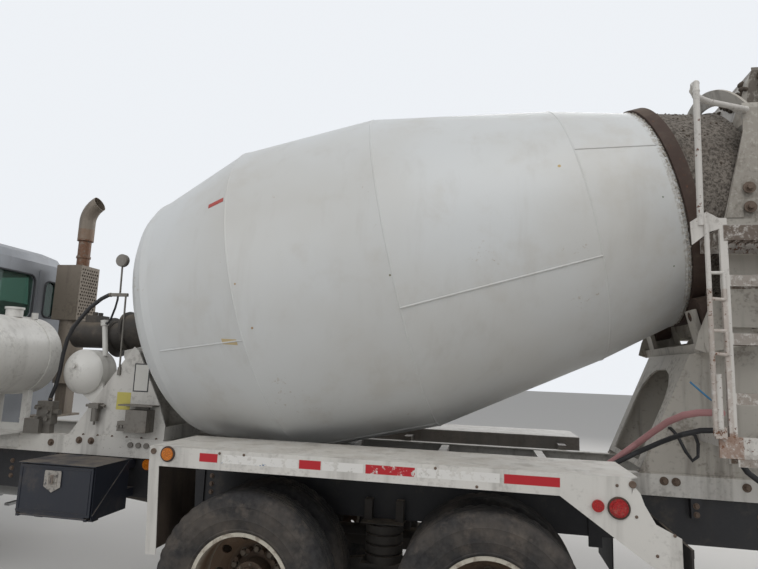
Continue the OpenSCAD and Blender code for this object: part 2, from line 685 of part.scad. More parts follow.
module toolbox_door() {
  latch_x = 2100;
  face = box_y1 + 13;
  color("black") at_datum() {
    bx(box_x0 + 8, box_x1 - 8, box_y1 + 1, face, box_z0 + 20, box_z1 - 8);
    // Raised rim round the panel
    xz(face, face + 3) frame2d(box_x0 + 24, box_x1 - 24, box_z0 + 36, box_z1 - 22, 5);
    // Shield shaped latch with its folding handle
    xz(face, face + 8) polygon([[latch_x - 57, 1026], [latch_x + 57, 1026], [latch_x + 61, 1014], [latch_x + 61, 925],
      [latch_x, 889], [latch_x - 61, 925], [latch_x - 61, 1014]]);
    xz(face + 8, face + 13) frame2d(latch_x - 34, latch_x + 34, 930, 1002, 8);
    bx(latch_x - 10, latch_x + 10, face + 8, face + 20, 945, 1000);
    xcyl(box_x0 + 22, box_x1 - 22, box_y1 + 14, box_z0 + 8, 5);
    bx(box_x0 + 44, box_x1 - 44, box_y1 + 1, box_y1 + 14, box_z0 + 5, box_z0 + 22);
  }
}

stack_x = 3510;
stack_y = -850;
module exhaust() {
  bend_r = 230;
  color("darkgray") at_datum() {
    // Muffler, pipe and the tip that bends to the rear
    zcyl(1500, 2690, 3541, -838, 122);
    zcyl(2690, 2990, stack_x, stack_y, 62);
    zcyl(2790, 2812, stack_x, stack_y, 70);
    zcyl(2975, 3180, stack_x, stack_y, 79);
    translate([stack_x - bend_r, stack_y, 3180]) rotate([90, 0, 0]) rotate_extrude(angle = 62)
      translate([bend_r, 0]) difference() {
        circle(r = 79);
        circle(r = 74);
      }
    // Heat shield box, its rear face full of holes
    difference() {
      bx(3399, 3683, -977, -700, 2134, 2697);
      bx(3403, 3679, -973, -704, 2130, 2700);
      for (i = [0 : 15]) for (k = [0 : 6])
        xcyl(3390, 3410, -952 + k * 35 + (i % 2) * 17, 2162 + i * 33, 11);
    }
    for (z = [2200, 2620]) {
      bx(3403, 3679, -842, -834, z, z + 30);
      bx(3537, 3545, -973, -704, z, z + 30);
    }
    // Post on the subframe
    bx(3480, 3600, -898, -778, sub_top + 20, 1500);
    bx(3440, 3640, -960, -440, sub_top, sub_top + 20);
  }
}

module dome_tank(y0, y1, x, z, r) {
  ycyl(y0, y1, x, z, r);
  for (s = [0, 1]) translate([x, s == 0 ? y0 : y1, z]) mirror([0, 1 - s, 0]) rotate([-90, 0, 0])
    rotate_extrude() intersection() {
      translate([0, -r * 0.75]) circle(r = r * 1.25);
      square([r, r]);
    }
}
tank_x = 2980;
tank_z = 1763;
tank_r = 300;
air_x = 2385;
air_z = 1655;
air_r = 170;
module tanks() {
  color("whitesmoke") at_datum() {
    // Water tank on its legs
    dome_tank(315, 1060, tank_x, tank_z, tank_r);
    for (y = [400, 900]) {
      ycyl(y, y + 45, tank_x, tank_z, tank_r + 5);
      for (x = [tank_x - 150, tank_x + 100]) bx(x, x + 50, y, y + 45, sub_top + 12, tank_z - 230);
      bx(tank_x - 180, tank_x + 180, y, y + 45, sub_top + 12, sub_top + 60);
    }
    bx(tank_x - 170, tank_x + 260, 380, 970, sub_top, sub_top + 12);
    for (x = [tank_x - 140, tank_x + 140]) yz(x, x + 12) polygon([[sub_y, rail_top + 20], [sub_y, sub_top],
      [960, sub_top], [960, sub_top - 40]]);
    // Filler, outlet and sight pipe
    zcyl(tank_z + 290, tank_z + 350, tank_x - 40, 560, 60);
    zcyl(tank_z + 350, tank_z + 366, tank_x - 40, 560, 68);
    zcyl(tank_z + 285, tank_z + 335, tank_x - 100, 420, 24);
    ycyl(1055, 1220, tank_x, tank_z - 60, 22);
    // Small pressure tank on the pedestal's slope
    dome_tank(262, 430, air_x, air_z, air_r);
    for (y = [290, 380]) xz(y, y + 24) polygon([[2276, 1400], [2205.8, 1500], [2240, 1600],
      [air_x, 1600], [air_x, 1480], [2330, 1440]]);
    ycyl(500, 530, air_x + 15, air_z + 45, 16);
    ycyl(530, 540, air_x + 15, air_z + 45, 22);
    rod([2270, 345, 1780], [2305, 345, 2030], 20);
    rod([2303, 345, 2018], [2309, 345, 2060], 30);
  }
}

module front_pedestal() {
  side = sub_y - 20;
  color("whitesmoke") at_datum() {
    both() xz(side, side + 12) polygon([[2430, sub_top], [1950, 1856], [1910, 1830], [1700, 1436],
      [1640, sub_top + 110], [1640, sub_top]]);
    xz(-side, side) polygon([[2430, sub_top], [1960, 1850], [1950, 1836], [2410, sub_top]]);
    xz(-side, side) polygon([[1960, 1850], [1915, 1830], [1910, 1818], [1955, 1838]]);
    // Rear wall under the drum head and the foot on the subframe
    bx(1640, 1652, -side, side, sub_top, sub_top + 100);
    both() bx(1640, 2430, sub_y - 68, sub_y, sub_top, sub_top + 10);
    // Cradle of the gearbox
    xz(-240, 240) polygon([[2110, 1660], [2180, 1780], [2180, 1830], [1960, 1880], [1955, 1846]]);
  }
}
module drum_drive() {
  color("gray") at_datum() {
    on_drum() translate([0, 0, hub_s]) {
      translate([0, 0, -70]) cylinder(r = 210, h = 68);
      translate([0, 0, -430]) cylinder(r = 165, h = 362);
      translate([0, 0, -452]) cylinder(r = 188, h = 24);
      translate([0, 0, -585]) cylinder(r = 118, h = 140);
      translate([0, 0, -606]) cylinder(r = 168, h = 24);
      for (a = [0 : 30 : 359]) rotate([0, 0, a]) translate([176, 0, -462]) cylinder(r = 8, h = 12);
      for (a = [0 : 30 : 359]) rotate([0, 0, a]) translate([192, 0, -82]) cylinder(r = 9, h = 14);
    }
    // Hydraulic motor
    xcyl(2430, 2800, 0, 1962, 116);
    xcyl(2800, 2830, 0, 1962, 84);
    bx(2560, 2700, -60, 60, 2060, 2120);
    for (y = [-34, 34]) zcyl(2110, 2150, 2630, y, 20);
  }
}

lip_s = 1822;
// Raised weld on the drum's outline
function bead(s) = [[rad_at(s - 7), s - 7], [rad_at(s) + 3, s - 2], [rad_at(s) + 3, s + 2], [rad_at(s + 7), s + 7]];
module drum_profile() {
  n = 8;
  outer = concat([[0, hub_s], [hub_r, hub_s]],
    [for (i = [n - 1 : -1 : 0]) let (a = 90 * i / n) [max(hub_r, head_r * pow(cos(a), 0.63)), head_s - head_depth * sin(a)]],
    bead(seam0), bead(seam1), bead(seam2), bead(lip_s),
    [[rad_at(mouth_s - 30), mouth_s - 30], [mouth_r + 14, mouth_s - 26], [mouth_r + 14, mouth_s]]);
  inner = [[mouth_r - drum_wall, mouth_s], [seam2_r - drum_wall, seam2], [drum_r - drum_wall, seam1],
    [drum_r - drum_wall, seam0], [head_r - drum_wall, head_s]];
  inner_head = [for (i = [1 : n - 1]) let (a = 90 * i / n)
    [max(0, head_r * pow(cos(a), 0.63) - drum_wall), head_s + drum_wall - head_depth * sin(a)]];
  polygon(concat(outer, inner, inner_head, [[0, hub_s + drum_wall]]));
}
module drum_shell() {
  color("whitesmoke") at_datum() on_drum() {
    rotate_extrude() drum_profile();
  }
}
module track_ring() {
  color("saddlebrown") at_datum() on_drum() translate([0, 0, ring_s - ring_w / 2]) difference() {
    cylinder(r = ring_r, h = ring_w);
    translate([0, 0, -1]) cylinder(r1 = rad_at(ring_s - ring_w / 2) + 1, r2 = rad_at(ring_s + ring_w / 2) + 1, h = ring_w + 2);
  }
}
// Two spiral blades inside the drum
fin_from = -1100;
fin_to = 2250;
fin_steps = 60;
fin_pitch = 1500;
module fin(turn) {
  t = 8;
  pts = [for (i = [0 : fin_steps]) let (s = fin_from + (fin_to - fin_from) * i / fin_steps, a = turn + 360 * s / fin_pitch,
    ro = rad_at(s) - drum_wall - 3.5, ri = ro * 0.7) each [[ro * cos(a), ro * sin(a), s - t / 2], [ri * cos(a), ri * sin(a), s - t / 2],
    [ri * cos(a), ri * sin(a), s + t / 2], [ro * cos(a), ro * sin(a), s + t / 2]]];
  polyhedron(points = pts, faces = concat([[0, 1, 2, 3]], [[for (k = [3 : -1 : 0]) fin_steps * 4 + k]],
    [for (i = [0 : fin_steps - 1]) for (k = [0 : 3]) let (j = (k + 1) % 4) each [[i * 4 + k, (i + 1) * 4 + k, (i + 1) * 4 + j],
      [i * 4 + k, (i + 1) * 4 + j, i * 4 + j]]]));
}
module drum_fins() {
  color("gray") at_datum() on_drum() {
    fin(0);
    fin(180);
  }
}

// Roller centre in drum coordinates: up, left, along
roller_d = ring_r + roller_r + 0.5;
module roller(side) {
  color("dimgray") at_datum() on_drum()
    translate([-roller_d * cos(roller_a), side * roller_d * sin(roller_a), ring_s]) {
      translate([0, 0, -55]) cylinder(r = roller_r, h = 110);
      translate([0, 0, -95]) cylinder(r = 30, h = 190);
    }
}
module roller_left() { roller(1); }
module roller_right() { roller(-1); }

// Leaning plate with a tall arch in it, its foot at x and z
module arch_plate(x, z, lean, h, w, arch) {
  translate([x, 0, z]) rotate([0, -lean, 0]) difference() {
    yz(-12, 0) translate([-w, 0]) square([2 * w, h]);
    yz(-20, 10) polygon([[-arch[0], 40], [arch[0], 40], [arch[0], arch[1]], [arch[0] * 0.9, arch[1] + 100],
      [arch[0] * 0.64, arch[1] + 180], [arch[0] * 0.32, arch[1] + 216], [-arch[0] * 0.32, arch[1] + 216],
      [-arch[0] * 0.64, arch[1] + 180], [-arch[0] * 0.9, arch[1] + 100], [-arch[0], arch[1]]]);
  }
}
ped_front = -1619;
ped_lean = 23.4;
ped_side = sub_y - 20;
bed_u = roller_d * cos(roller_a) + 170;
module rear_pedestal() {
  color("lightgray") at_datum() {
    both() {
      xz(ped_side, ped_side + 12) polygon([[ped_front + 10, sub_top], [ped_front, 1207], [-1930, 1925],
        [-2178, 1990], [-2230, 2080], [ped_rear, 2080], [ped_rear, sub_top]]);
      bx(ped_rear, ped_front + 10, sub_y - 68, sub_y, sub_top, sub_top + 10);
      // Ear beside the roller
      xz(640, 652) polygon([[-1900, 1950], [-1925, 2048], [-2011, 2250], [-2060, 2262], [-2200, 2140],
        [-2230, 2040], [-2160, 1975], [-1960, 1930]]);
    }
    arch_plate(ped_front, 1207, ped_lean, 790, ped_side, [345, 461]);
    arch_plate(ped_rear + 80, sub_top, 0, 780, ped_side, [300, 220]);
    // Beam across under the rollers
    on_drum() translate([-bed_u - 60, -660, ring_s - 110]) cube([60, 1320, 220]);
    // Roller bearings
    both() on_drum() translate([-roller_d * cos(roller_a), roller_d * sin(roller_a), ring_s]) for (s = [-95, 65])
      difference() {
        translate([-172, -60, s]) cube([212, 120, 30]);
        translate([0, 0, s - 5]) cylinder(r = 30 + fit, h = 40);
      }
  }
}
// Arms that hold the swivel post
module swivel_mount() {
  rear = rail_rear - 25;
  color("lightgray") at_datum() {
    difference() {
      union() {
        for (z = [820, 1100]) {
          bx(-post_x, rear + 5, -120, 120, z, z + (z > 1000 ? 60 : 40));
          zcyl(z, z + (z > 1000 ? 60 : 40), -post_x, 0, 120);
        }
        bx(rear, rail_rear, -rail_y, rail_y, 800, 1160);
      }
      zcyl(800, 1200, -post_x, 0, post_r + fit);
    }
    // Rear tow eyes
    both() difference() {
      xz(300, 325) polygon([[rear, 900], [rear - 30, 880], [rear - 85, 790], [rear - 85, 730], [rear - 60, 705],
        [rear - 25, 705], [rear, 740], [rear, 800]]);
      ycyl(290, 335, rear - 45, 755, 22);
    }
  }
}

// Funnel with sloping walls, open above and below
module funnel(low, high, z0, z1, t) {
  function quad(q, d, z) = [[q[0] + d, q[2] + d, z], [q[1] - d, q[2] + d, z], [q[1] - d, q[3] - d, z], [q[0] + d, q[3] - d, z]];
  function past(a, b, k) = a + (b - a) * k;
  difference() {
    block8(quad(low, 0, z0), quad(high, 0, z1));
    block8(quad([for (i = [0 : 3]) past(low[i], high[i], -0.01)], t, z0 - (z1 - z0) * 0.01),
      quad([for (i = [0 : 3]) past(low[i], high[i], 1.01)], t, z1 + (z1 - z0) * 0.01));
  }
}
col_y = 700;
module hopper() {
  color("darkgray") at_datum() {
    // Charge hopper over the drum's mouth
    difference() {
      funnel([-2600, -2230, -230, 230], [-3000, -2390, -450, 450], 3250, 3830, 6);
      on_drum() translate([0, 0, mouth_s - 300]) cylinder(r = mouth_r + 45, h = 340);
    }
    for (y = [-450, 444]) bx(-3000, -2390, y, y + 6, 3826, 3850);
    // Collector below the mouth, with a side and rear wall round it and a spout
    funnel([-2930, -2510, -240, 240], [-2960, -2440, -520, 520], 1950, 2360, 6);
    difference() {
      bx(-2960, -2500, -680, 680, 2350, 2950);
      bx(-2954, -2499, -674, 674, 2340, 2960);
    }
    difference() {
      bx(-2960, -2440, -680, 680, 2350, 2362);
      bx(-2954, -2446, -514, 514, 2340, 2370);
    }
    difference() {
      union() {
        zcyl(1800, 1950, -post_x, 0, 200);
        bx(-2930, -2510, -240, 240, 1944, 1956);
      }
      zcyl(1790, 1960, -post_x, 0, 195);
    }
    // Horseshoe plate round the upper half of the mouth
    on_drum() translate([0, 0, mouth_s + 48]) difference() {
      cylinder(r = 800, h = 15);
      translate([0, 0, -5]) cylinder(r = 690, h = 30);
      translate([-900, -900, -5]) cube([1050, 1800, 30]);
      for (y = [-900, col_y]) translate([-900, y, -5]) cube([1800, 200, 30]);
    }
    // Columns that stand on the pedestal
    both() {
      xz(col_y, col_y + 12) polygon([[-2050, 2082], [-2075, 2739], [-2208, 3296], [-2208, 3480], [-2420, 3480],
        [-2420, 2082]]);
      xz(col_y + 12, col_y + 17) polygon([[-2084, 2745], [-2204, 3290], [-2208, 3450], [-2230, 3450], [-2182, 2745]]);
      bx(ped_rear, -2240, ped_side, col_y + 12, 2080, 2100);
      for (z = [2400, 2840]) bx(-2520, -2400, 674, col_y, z, z + 60);
      bx(-2420, -2340, 306, col_y, 3440, 3480);
      for (z = [2808, 2928]) ycyl(col_y + 12, col_y + 30, -2216, z, 24);
      bx(-2420, -2395, col_y - 48, col_y, 2082, 3480);
    }
  }
}

step_y = 1105;
module platform_ladder() {
  color("whitesmoke") at_datum() {
    // Platform with its grating
    translate([0, 0, 2518]) linear_extrude(84) frame2d(-2620, -1925, 735, step_y, 5);
    for (i = [1 : 8]) bx(-2616, -1929, 735 + i * 41, 740 + i * 41, 2572, 2600);
    for (i = [1 : 13]) bx(-2616 + i * 49, -2611 + i * 49, 738, step_y - 3, 2572, 2600);
    bx(-2420, -2090, 712, 736, 2520, 2598);
    // Ladder: stringers, steps and the foot
    for (x = [-1935, -2360]) bx(x, x + 38, step_y - 22, step_y, 1380, x > -2000 ? 2640 : 2520);
    for (z = [1394, 1705, 2016, 2327]) difference() {
      bx(-2325, -1932, step_y - 120, step_y - 2, z - 60, z);
      bx(-2330, -1930, step_y - 114, step_y - 8, z - 65, z - 6);
      for (k = [0 : 8]) zcyl(z - 10, z + 5, -2296 + k * 41, step_y - 61, 14);
    }
    bx(-2325, -1847, step_y - 14, step_y, 1374, 1482);
    bx(-2010, -1950, ped_side + 12, step_y - 14, 1400, 1460);
    bx(-2360, -2300, ped_side + 12, step_y - 14, 1400, 1460);
    // Grab tube beside the ladder with its handles
    zcyl(1482, 2606, -1831, step_y + 4, 13);
    for (z = [[2337, 2192], [2026, 1901]]) {
      rod([-1831, step_y + 4, z[0]], [-1905, step_y + 4, z[0]], 9);
      rod([-1905, step_y + 4, z[0]], [-1905, step_y + 4, z[1]], 9);
      rod([-1905, step_y + 4, z[1]], [-1831, step_y + 4, z[1] + 6], 9);
    }
    zcyl(1520, 1800, -1852, step_y + 10, 16);
    bx(-1880, -1826, step_y - 5, step_y + 16, 1470, 1530);
    // Kick plate and the handrail that runs back to the column
    xz(step_y - 10, step_y) polygon([[-1753, 2620], [-1836, 2676], [-1897, 2640], [-1897, 2580], [-1846, 2563],
      [-1758, 2491]]);
    rail = [[-1806, step_y - 5, 2600], [-1815, step_y - 5, 3380], [-1822, 1080, 3436], [-1826, 1035, 3450],
      [-1836, 985, 3440], [-1866, 940, 3428], [-1960, 868, 3424], [-2216, 742, 3424], [-2216, 717.3, 3424]];
    for (i = [0 : len(rail) - 2]) rod(rail[i], rail[i + 1], 17);
    for (i = [1 : len(rail) - 2]) translate(rail[i]) sphere(r = 19);
    // Guard rail at the rear of the platform
    back = [[-2600, step_y - 5, 2600], [-2600, step_y - 5, 3400], [-2570, 1050, 3440], [-2403, 745, 3440],
      [-2403, 712.3, 3440]];
    for (i = [0 : 3]) rod(back[i], back[i + 1], 17);
    for (i = [1 : 3]) translate(back[i]) sphere(r = 19);
    rod([-2600, step_y - 5, 3020], [-2405, 719, 3020], 14);
  }
}

fender_x0 = -1428;
fender_x1 = 1280;
module rear_fenders() {
  inner = fender_y - fender_w;
  under = fender_z - sheet_t;
  edge = fender_z - skirt_h;
  color("whitesmoke") at_datum() both() {
    // Top with its rear outer corner cut off
    difference() {
      bx(fender_x0, fender_x1, inner, fender_y, under, fender_z);
      translate([fender_x0, fender_y - 45, under - 1]) rotate([0, 0, 45]) cube([100, 100, sheet_t + 2]);
    }
    bx(fender_x0 + 40, fender_x1, fender_y - sheet_t, fender_y, edge, under + 1);
    bx(fender_x0, fender_x1, inner, inner + sheet_t, edge, under);
    xz(fender_y - sheet_t, fender_y) polygon([[-1040, edge], [-1484, 840], [-1510, 600], [-1640, 600], [-1617, 860],
      [-1616, 990], [-1499, 1047], [-1448, 1137], [-1429, 1191], [-1400, 1225], [-1380, edge + 1]]);
    // Front panel and its white edge strip
    xz(inner, fender_y - sheet_t) polygon([[fender_x1 - sheet_t, under], [fender_x1, under], [fender_x1, 1177],
      [1252, 660], [1247, 660], [fender_x1 - sheet_t, 1177]]);
    xz(fender_y - sheet_t, fender_y) polygon([[fender_x1, edge], [1252, 660], [1187, 660], [1216, edge]]);
    // Ribs under the top and the brackets to the subframe
    for (x = [-1300, -60, 1180]) {
      bx(x, x + 60, sub_y, inner, fender_z - 90, fender_z - 50);
      bx(x, x + 40, inner + sheet_t, fender_y - sheet_t, under - 40, under);
    }
  }
}
module mud_flaps() {
  color("black") at_datum() both() {
    bx(-1670, -1660, 640, 1210, 230, 900);
    bx(-1672, -1658, 432, 1210, 900, 940);
  }
}

pink_path = [[-1346, 446.3, 985], [-1346, 475, 985], [-1350, 505, 1008], [-1360, 521, 1060],
  [-1378, 524, 1130], [-1395, 520, 1212], [-1461, 550, 1270], [-1564, 620, 1372], [-1627, 720, 1452], [-1685, 820, 1524],
  [-1739, 920, 1571], [-1790, 985, 1590], [-1826, 1035, 1596],
  [-1853, 1068, 1599], [-1866, 1085, 1600], [-1866, 1098.7, 1600]];
module pink_hose() {
  color("palevioletred") at_datum() hose(pink_path, 19, 12);
}
feed_path = [[-1346, 446.3, 940], [-1346, 485, 940], [-1350, 530, 962], [-1362, 560, 1010],
  [-1380, 571, 1090], [-1393, 573, 1150], [-1400, 573, 1190], [-1433, 575, 1236], [-1563, 640, 1325], [-1660, 740, 1398], [-1704, 830, 1438],
  [-1735, 920, 1468], [-1800, 985, 1497], [-1838, 1050, 1506],
  [-1860, 1080, 1505], [-1860, 1099.7, 1505]];
loop_path = [[-1795, 462.3, 1462], [-1795, 490, 1462], [-1800, 535, 1446], [-1815, 575, 1410], [-1840, 605, 1340], [-1874, 610, 1290],
  [-1908, 600, 1315], [-1925, 560, 1385], [-1928, 500, 1432], [-1928, 462.3, 1432]];
coil_path = [[-2080, 462.3, 1420], [-2080, 500, 1420], [-2085, 570, 1398], [-2105, 630, 1337], [-2150, 655, 1250], [-2215, 660, 1198],
  [-2290, 640, 1200], [-2332, 560, 1240], [-2340, 500, 1260], [-2340, 462.3, 1260]];
arc_path = [[2186.3, 462, 2249], [2210, 462, 2248], [2270, 462, 2218], [2360, 460, 2150], [2440, 456, 2060], [2500, 450, 1985],
  [2546, 440, 1900], [2576, 430, 1790], [2592, 425, 1650], [2612, 428, 1530], [2640, 430, 1450],
  [2640, 430, 1420.3]];
line_path = [[2130, 465, 2236.7], [2130, 465, 2215], [2152, 452, 2150], [2205, 420, 2060], [2255, 383, 2030], [2279, 364, 2036]];
module black_hoses() {
  color("black") at_datum() {
    hose(feed_path, 15, 10);
    hose(loop_path, 10, 8);
    hose(coil_path, 17, 10);
    hose(arc_path, 15, 10, [0.1, 1, 0.1]);
    hose(line_path, 8, 8);
  }
}
module valves_gauge() {
  plate = ped_side + 12;
  color("gray") at_datum() {
    // Valve bank on the subframe
    bx(2590, 2720, 395, 465, 1250, 1420);
    bx(2660, 2790, 400, 500, sub_top, 1290);
    bx(2600, 2660, 405, 455, sub_top, 1252);
    for (z = [1290, 1345]) ycyl(465, 486, 2622, z, 17);
    for (z = [1300, 1370]) ycyl(465, 500, 2690, z, 13);
    xcyl(2545, 2590, 430, 1340, 22);
    xcyl(2720, 2760, 430, 1370, 18);
    // Filter and its bowl
    bx(2158, 2238, plate, plate + 62, 1392, 1428);
    xcyl(2120, 2276, plate + 32, 1410, 11);
    zcyl(1296, 1393, 2198, plate + 32, 27);
    zcyl(1270, 1298, 2198, plate + 32, 8);
    // Junction box, its switches and the plate above
    bx(1730, 1900, plate, plate + 105, 1240, 1398);
    bx(1900, 1990, plate, plate + 60, 1240, 1310);
    for (x = [1918, 1945, 1972]) ycyl(plate + 60, plate + 78, x, 1275, 10);
    bx(1698, 1973, plate, plate + 96, 1424, 1434);
    bx(1770, 1880, plate, plate + 20, 1396, 1426);
    // Gauge on its stalk
    ycyl(plate - 14, plate + 18, 2121, 2518, 49);
    ycyl(plate + 18, plate + 21, 2121, 2518, 44);
    rod([2119, plate + 3, 2475], [2114, plate + 3, 2255], 7);
    bx(2047, 2186, plate - 8, plate + 14, 2237, 2262);
    rod([2060, plate + 7.5, 2240], [2050, plate + 7.5, 1660], 7);
    bx(2040, 2062, plate, plate + 16, 1640, 1700);
    // Plugs in the subframe's web
    for (i = [0 : 2]) ycyl(sub_y, sub_y + 12, 1768 + i * 64, 1140, 20);
  }
}
module lamps() {
  tail = rail_rear - 25;
  color("orangered") at_datum() {
    both() {
      ycyl(fender_y, fender_y + 12, 1163, 1222, 36);
      ycyl(fender_y, fender_y + 12, -1225, 1117, 30);
      ycyl(fender_y, fender_y + 8, -1325, 1113, 46);
      ycyl(fender_y + 8, fender_y + 18, -1325, 1113, 33);
      ycyl(rail_y, rail_y + 20, 1762, 1005, 38);
      // Tail lamps
      bx(tail - 8, tail, 345, 427, 930, 1090);
      for (z = [970, 1050]) xcyl(tail - 22, tail - 8, 386, z, 34);
    }
  }
}

// Chute parts
pivot_z = 1360;
chute_front = 230;
lift_foot = [-post_x - 150, 970];
lift_pin = [-post_x - 620, pivot_z + 10];
lift_a = atan2(lift_foot[0] - lift_pin[0], lift_pin[1] - lift_foot[1]);
lift_l = norm(lift_pin - lift_foot);
module trough(len) {
  rotate([90, 0, -90]) linear_extrude(len) {
    difference() {
      circle(r = trough_r);
      circle(r = trough_r - trough_t);
      translate([-trough_r - 1, 0]) square([2 * trough_r + 2, trough_r + 1]);
    }
    translate([-trough_r, -2]) square([22, 12]);
    translate([trough_r - 22, -2]) square([22, 12]);
  }
}
module chute_swivel() {
  color("gray") at_datum() {
    zcyl(780, 1262, -post_x, 0, post_r);
    zcyl(1161, 1262, -post_x, 0, 80);
    bx(-post_x - 70, -post_x + 70, -100, 100, 1240, 1262);
    for (y = [-84, 64]) difference() {
      union() {
        bx(-post_x - 45, -post_x + 45, y, y + 20, 1262, pivot_z);
        ycyl(y, y + 20, -post_x, pivot_z, 45);
      }
      ycyl(y - 1, y + 21, -post_x, pivot_z, 15 + fit);
    }
    // Ears of the lift cylinder
    for (y = [-52, 36]) difference() {
      union() {
        bx(-post_x - 150, -post_x, y, y + 16, 930, 1010);
        ycyl(y, y + 16, -post_x - 150, 970, 40);
      }
      ycyl(y - 1, y + 17, -post_x - 150, 970, 12 + fit);
    }
  }
}
module main_chute() {
  color("gainsboro") at_datum() {
    translate([-post_x + chute_front, 0, pivot_z + 60 + trough_r]) trough(chute_len);
    for (y = [-62, 40]) bx(-post_x - 60, -post_x + 60, y, y + 22, pivot_z - 30, pivot_z + 62);
    ycyl(-84, 84, -post_x, pivot_z, 15);
    for (y = [-52, 40]) bx(lift_pin[0] - 40, lift_pin[0] + 40, y, y + 12, lift_pin[1] - 22, pivot_z + 64);
    ycyl(-52, 52, lift_pin[0], lift_pin[1], 12);
    // Hinge ears of the folding chute, welded to the trough
    both() bx(fold_x + 30, fold_x + 88, 272, 277, 1645, 1688);
    both() difference() {
      xz(276, 286) polygon([[fold_x + 90, 1640], [fold_x + 90, 1700], [fold_x + 20, 1730], [fold_x - 18, 1730], [fold_x - 18, 1690], [fold_x + 20, 1640]]);
      ycyl(270, 290, fold_x - 5, hinge_z, 8 + fit);
    }
  }
}
fold_z = pivot_z + 60 + trough_r + 30;
fold_x = -post_x + chute_front - chute_len;
hinge_z = 1716;
module fold_chute() {
  color("gainsboro") at_datum() translate([fold_x - 10, 0, fold_z + 12]) mirror([0, 0, 1]) translate([fold_len + 20, 0, 0]) trough(fold_len);
  color("gainsboro") at_datum() both() {
    xz(288, 298) polygon([[fold_x - 18, 1703], [fold_x + 8, 1703], [fold_x + 90, 1745], [fold_x + 90, 1790], [fold_x + 30, 1790], [fold_x - 18, 1730]]);
    ycyl(276, 288, fold_x - 5, hinge_z, 8);
    bx(fold_x + 45, fold_x + 88, 264, 289, 1742, 1760);
  }
}
module lift_cylinder() {
  color("gray") at_datum() {
    translate([lift_foot[0], 0, lift_foot[1]]) rotate([0, -lift_a, 0]) {
      rotate([90, 0, 0]) translate([0, 0, -51]) cylinder(r = 12, h = 102);
      difference() {
        translate([0, 0, 30]) cylinder(r = 35, h = 330);
        translate([0, 0, 60]) cylinder(r = 18 + fit, h = 400);
      }
      rotate([90, 0, 0]) translate([0, 0, -25]) cylinder(r = 32, h = 50);
    }
  }
}
module lift_rod() {
  color("silver") at_datum() translate([lift_foot[0], 0, lift_foot[1]]) rotate([0, -lift_a, 0]) {
    translate([0, 0, 250]) cylinder(r = 18, h = lift_l - 278);
    difference() {
      translate([0, 30, lift_l]) rotate([90, 0, 0]) cylinder(r = 34, h = 60);
      translate([0, 31, lift_l]) rotate([90, 0, 0]) cylinder(r = 24, h = 62);
    }
  }
}

chassis_frame();
subframe();
front_bumper();
powertrain();
rear_suspension();
rear_axles();
front_axle();
cab_shell();
cab_interior();
cab_glass();
side_tanks();
toolbox();
toolbox_door();
exhaust();
tanks();
front_pedestal();
drum_drive();
rear_pedestal();
hopper();
platform_ladder();
rear_fenders();
mud_flaps();
pink_hose();
black_hoses();
valves_gauge();
lamps();
knuckle_left();
knuckle_right();
tie_rod();
tyre_front_left();
tyre_front_right();
rim_front_left();
rim_front_right();
tyres_mid_left();
tyres_mid_right();
tyres_rear_left();
tyres_rear_right();
rims_mid_left();
rims_mid_right();
rims_rear_left();
rims_rear_right();
hood();
grille();
headlamps();
door_left();
door_right();
door_glass_left();
door_glass_right();
drum_shell();
track_ring();
drum_fins();
roller_left();
roller_right();
chute_swivel();
main_chute();
fold_chute();
lift_cylinder();
lift_rod();
steering_wheel();
swivel_mount();
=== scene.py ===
import math
import random

import bmesh
import bpy
from mathutils import Matrix, Vector, noise


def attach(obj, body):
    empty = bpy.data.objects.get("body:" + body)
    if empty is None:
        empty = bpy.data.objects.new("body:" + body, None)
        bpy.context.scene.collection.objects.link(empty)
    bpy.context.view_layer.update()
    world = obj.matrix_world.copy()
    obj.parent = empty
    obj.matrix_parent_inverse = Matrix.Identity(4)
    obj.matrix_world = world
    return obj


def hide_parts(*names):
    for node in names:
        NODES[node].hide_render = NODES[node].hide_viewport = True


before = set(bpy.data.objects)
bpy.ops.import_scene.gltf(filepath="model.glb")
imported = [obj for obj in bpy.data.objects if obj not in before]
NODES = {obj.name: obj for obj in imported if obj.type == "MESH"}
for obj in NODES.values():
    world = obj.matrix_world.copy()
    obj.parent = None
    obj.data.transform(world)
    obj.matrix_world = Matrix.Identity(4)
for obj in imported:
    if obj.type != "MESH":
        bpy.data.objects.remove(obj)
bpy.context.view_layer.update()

# The tandem's middle along X, then the drum's axis: its height there and its tilt, in metres and radians
DATUM = -1.445
AXIS_Z = 2.503
TILT = math.radians(13)
DRUM_O = Vector((DATUM, 0, AXIS_Z))
DRUM_A = Vector((-math.cos(TILT), 0, math.sin(TILT)))
DRUM_U = Vector((math.sin(TILT), 0, math.cos(TILT)))
LEFT = Vector((0, 1, 0))

# The drum's seams and mouth as stations along its axis, and its outer radii there, in metres
SEAM_1, SEAM_2, SEAM_3, MOUTH = -0.911, 0.073, 1.301, 2.377
BELLY_RADIUS, SEAM_3_RADIUS, MOUTH_RADIUS = 1.189, 0.938, 0.642
HEAD_SLOPE = 0.3135

# Faces that look sideways: fender edge, frame rail, plates and brackets, pedestal plate, in millimetres
FENDER_Y, RAIL_Y, PLATE_Y, PEDESTAL_Y = 1220, 432, 470, 461.5

# Wheels in millimetres from the tandem's middle: an axle's height is its tyres' radius
FRONT_X, FRONT_Z, FRONT_Y, FRONT_WIDTH = 5780, 535, 1040, 315
TWIN_X, TWIN_Z, TWIN_Y, TWIN_WIDTH = 686, 515, (1078, 742), 279
SIDES = (("left", 1), ("right", -1))

# The photo's camera: yaw, pitch and roll in degrees, place in millimetres, lens for a sensor 36 mm wide
CAMERA_ANGLES = (10.66, 8.38, 2.16)
CAMERA_PLACE = (-653.5, 4399.7, 1761.4)
CAMERA_LENS = 27.13

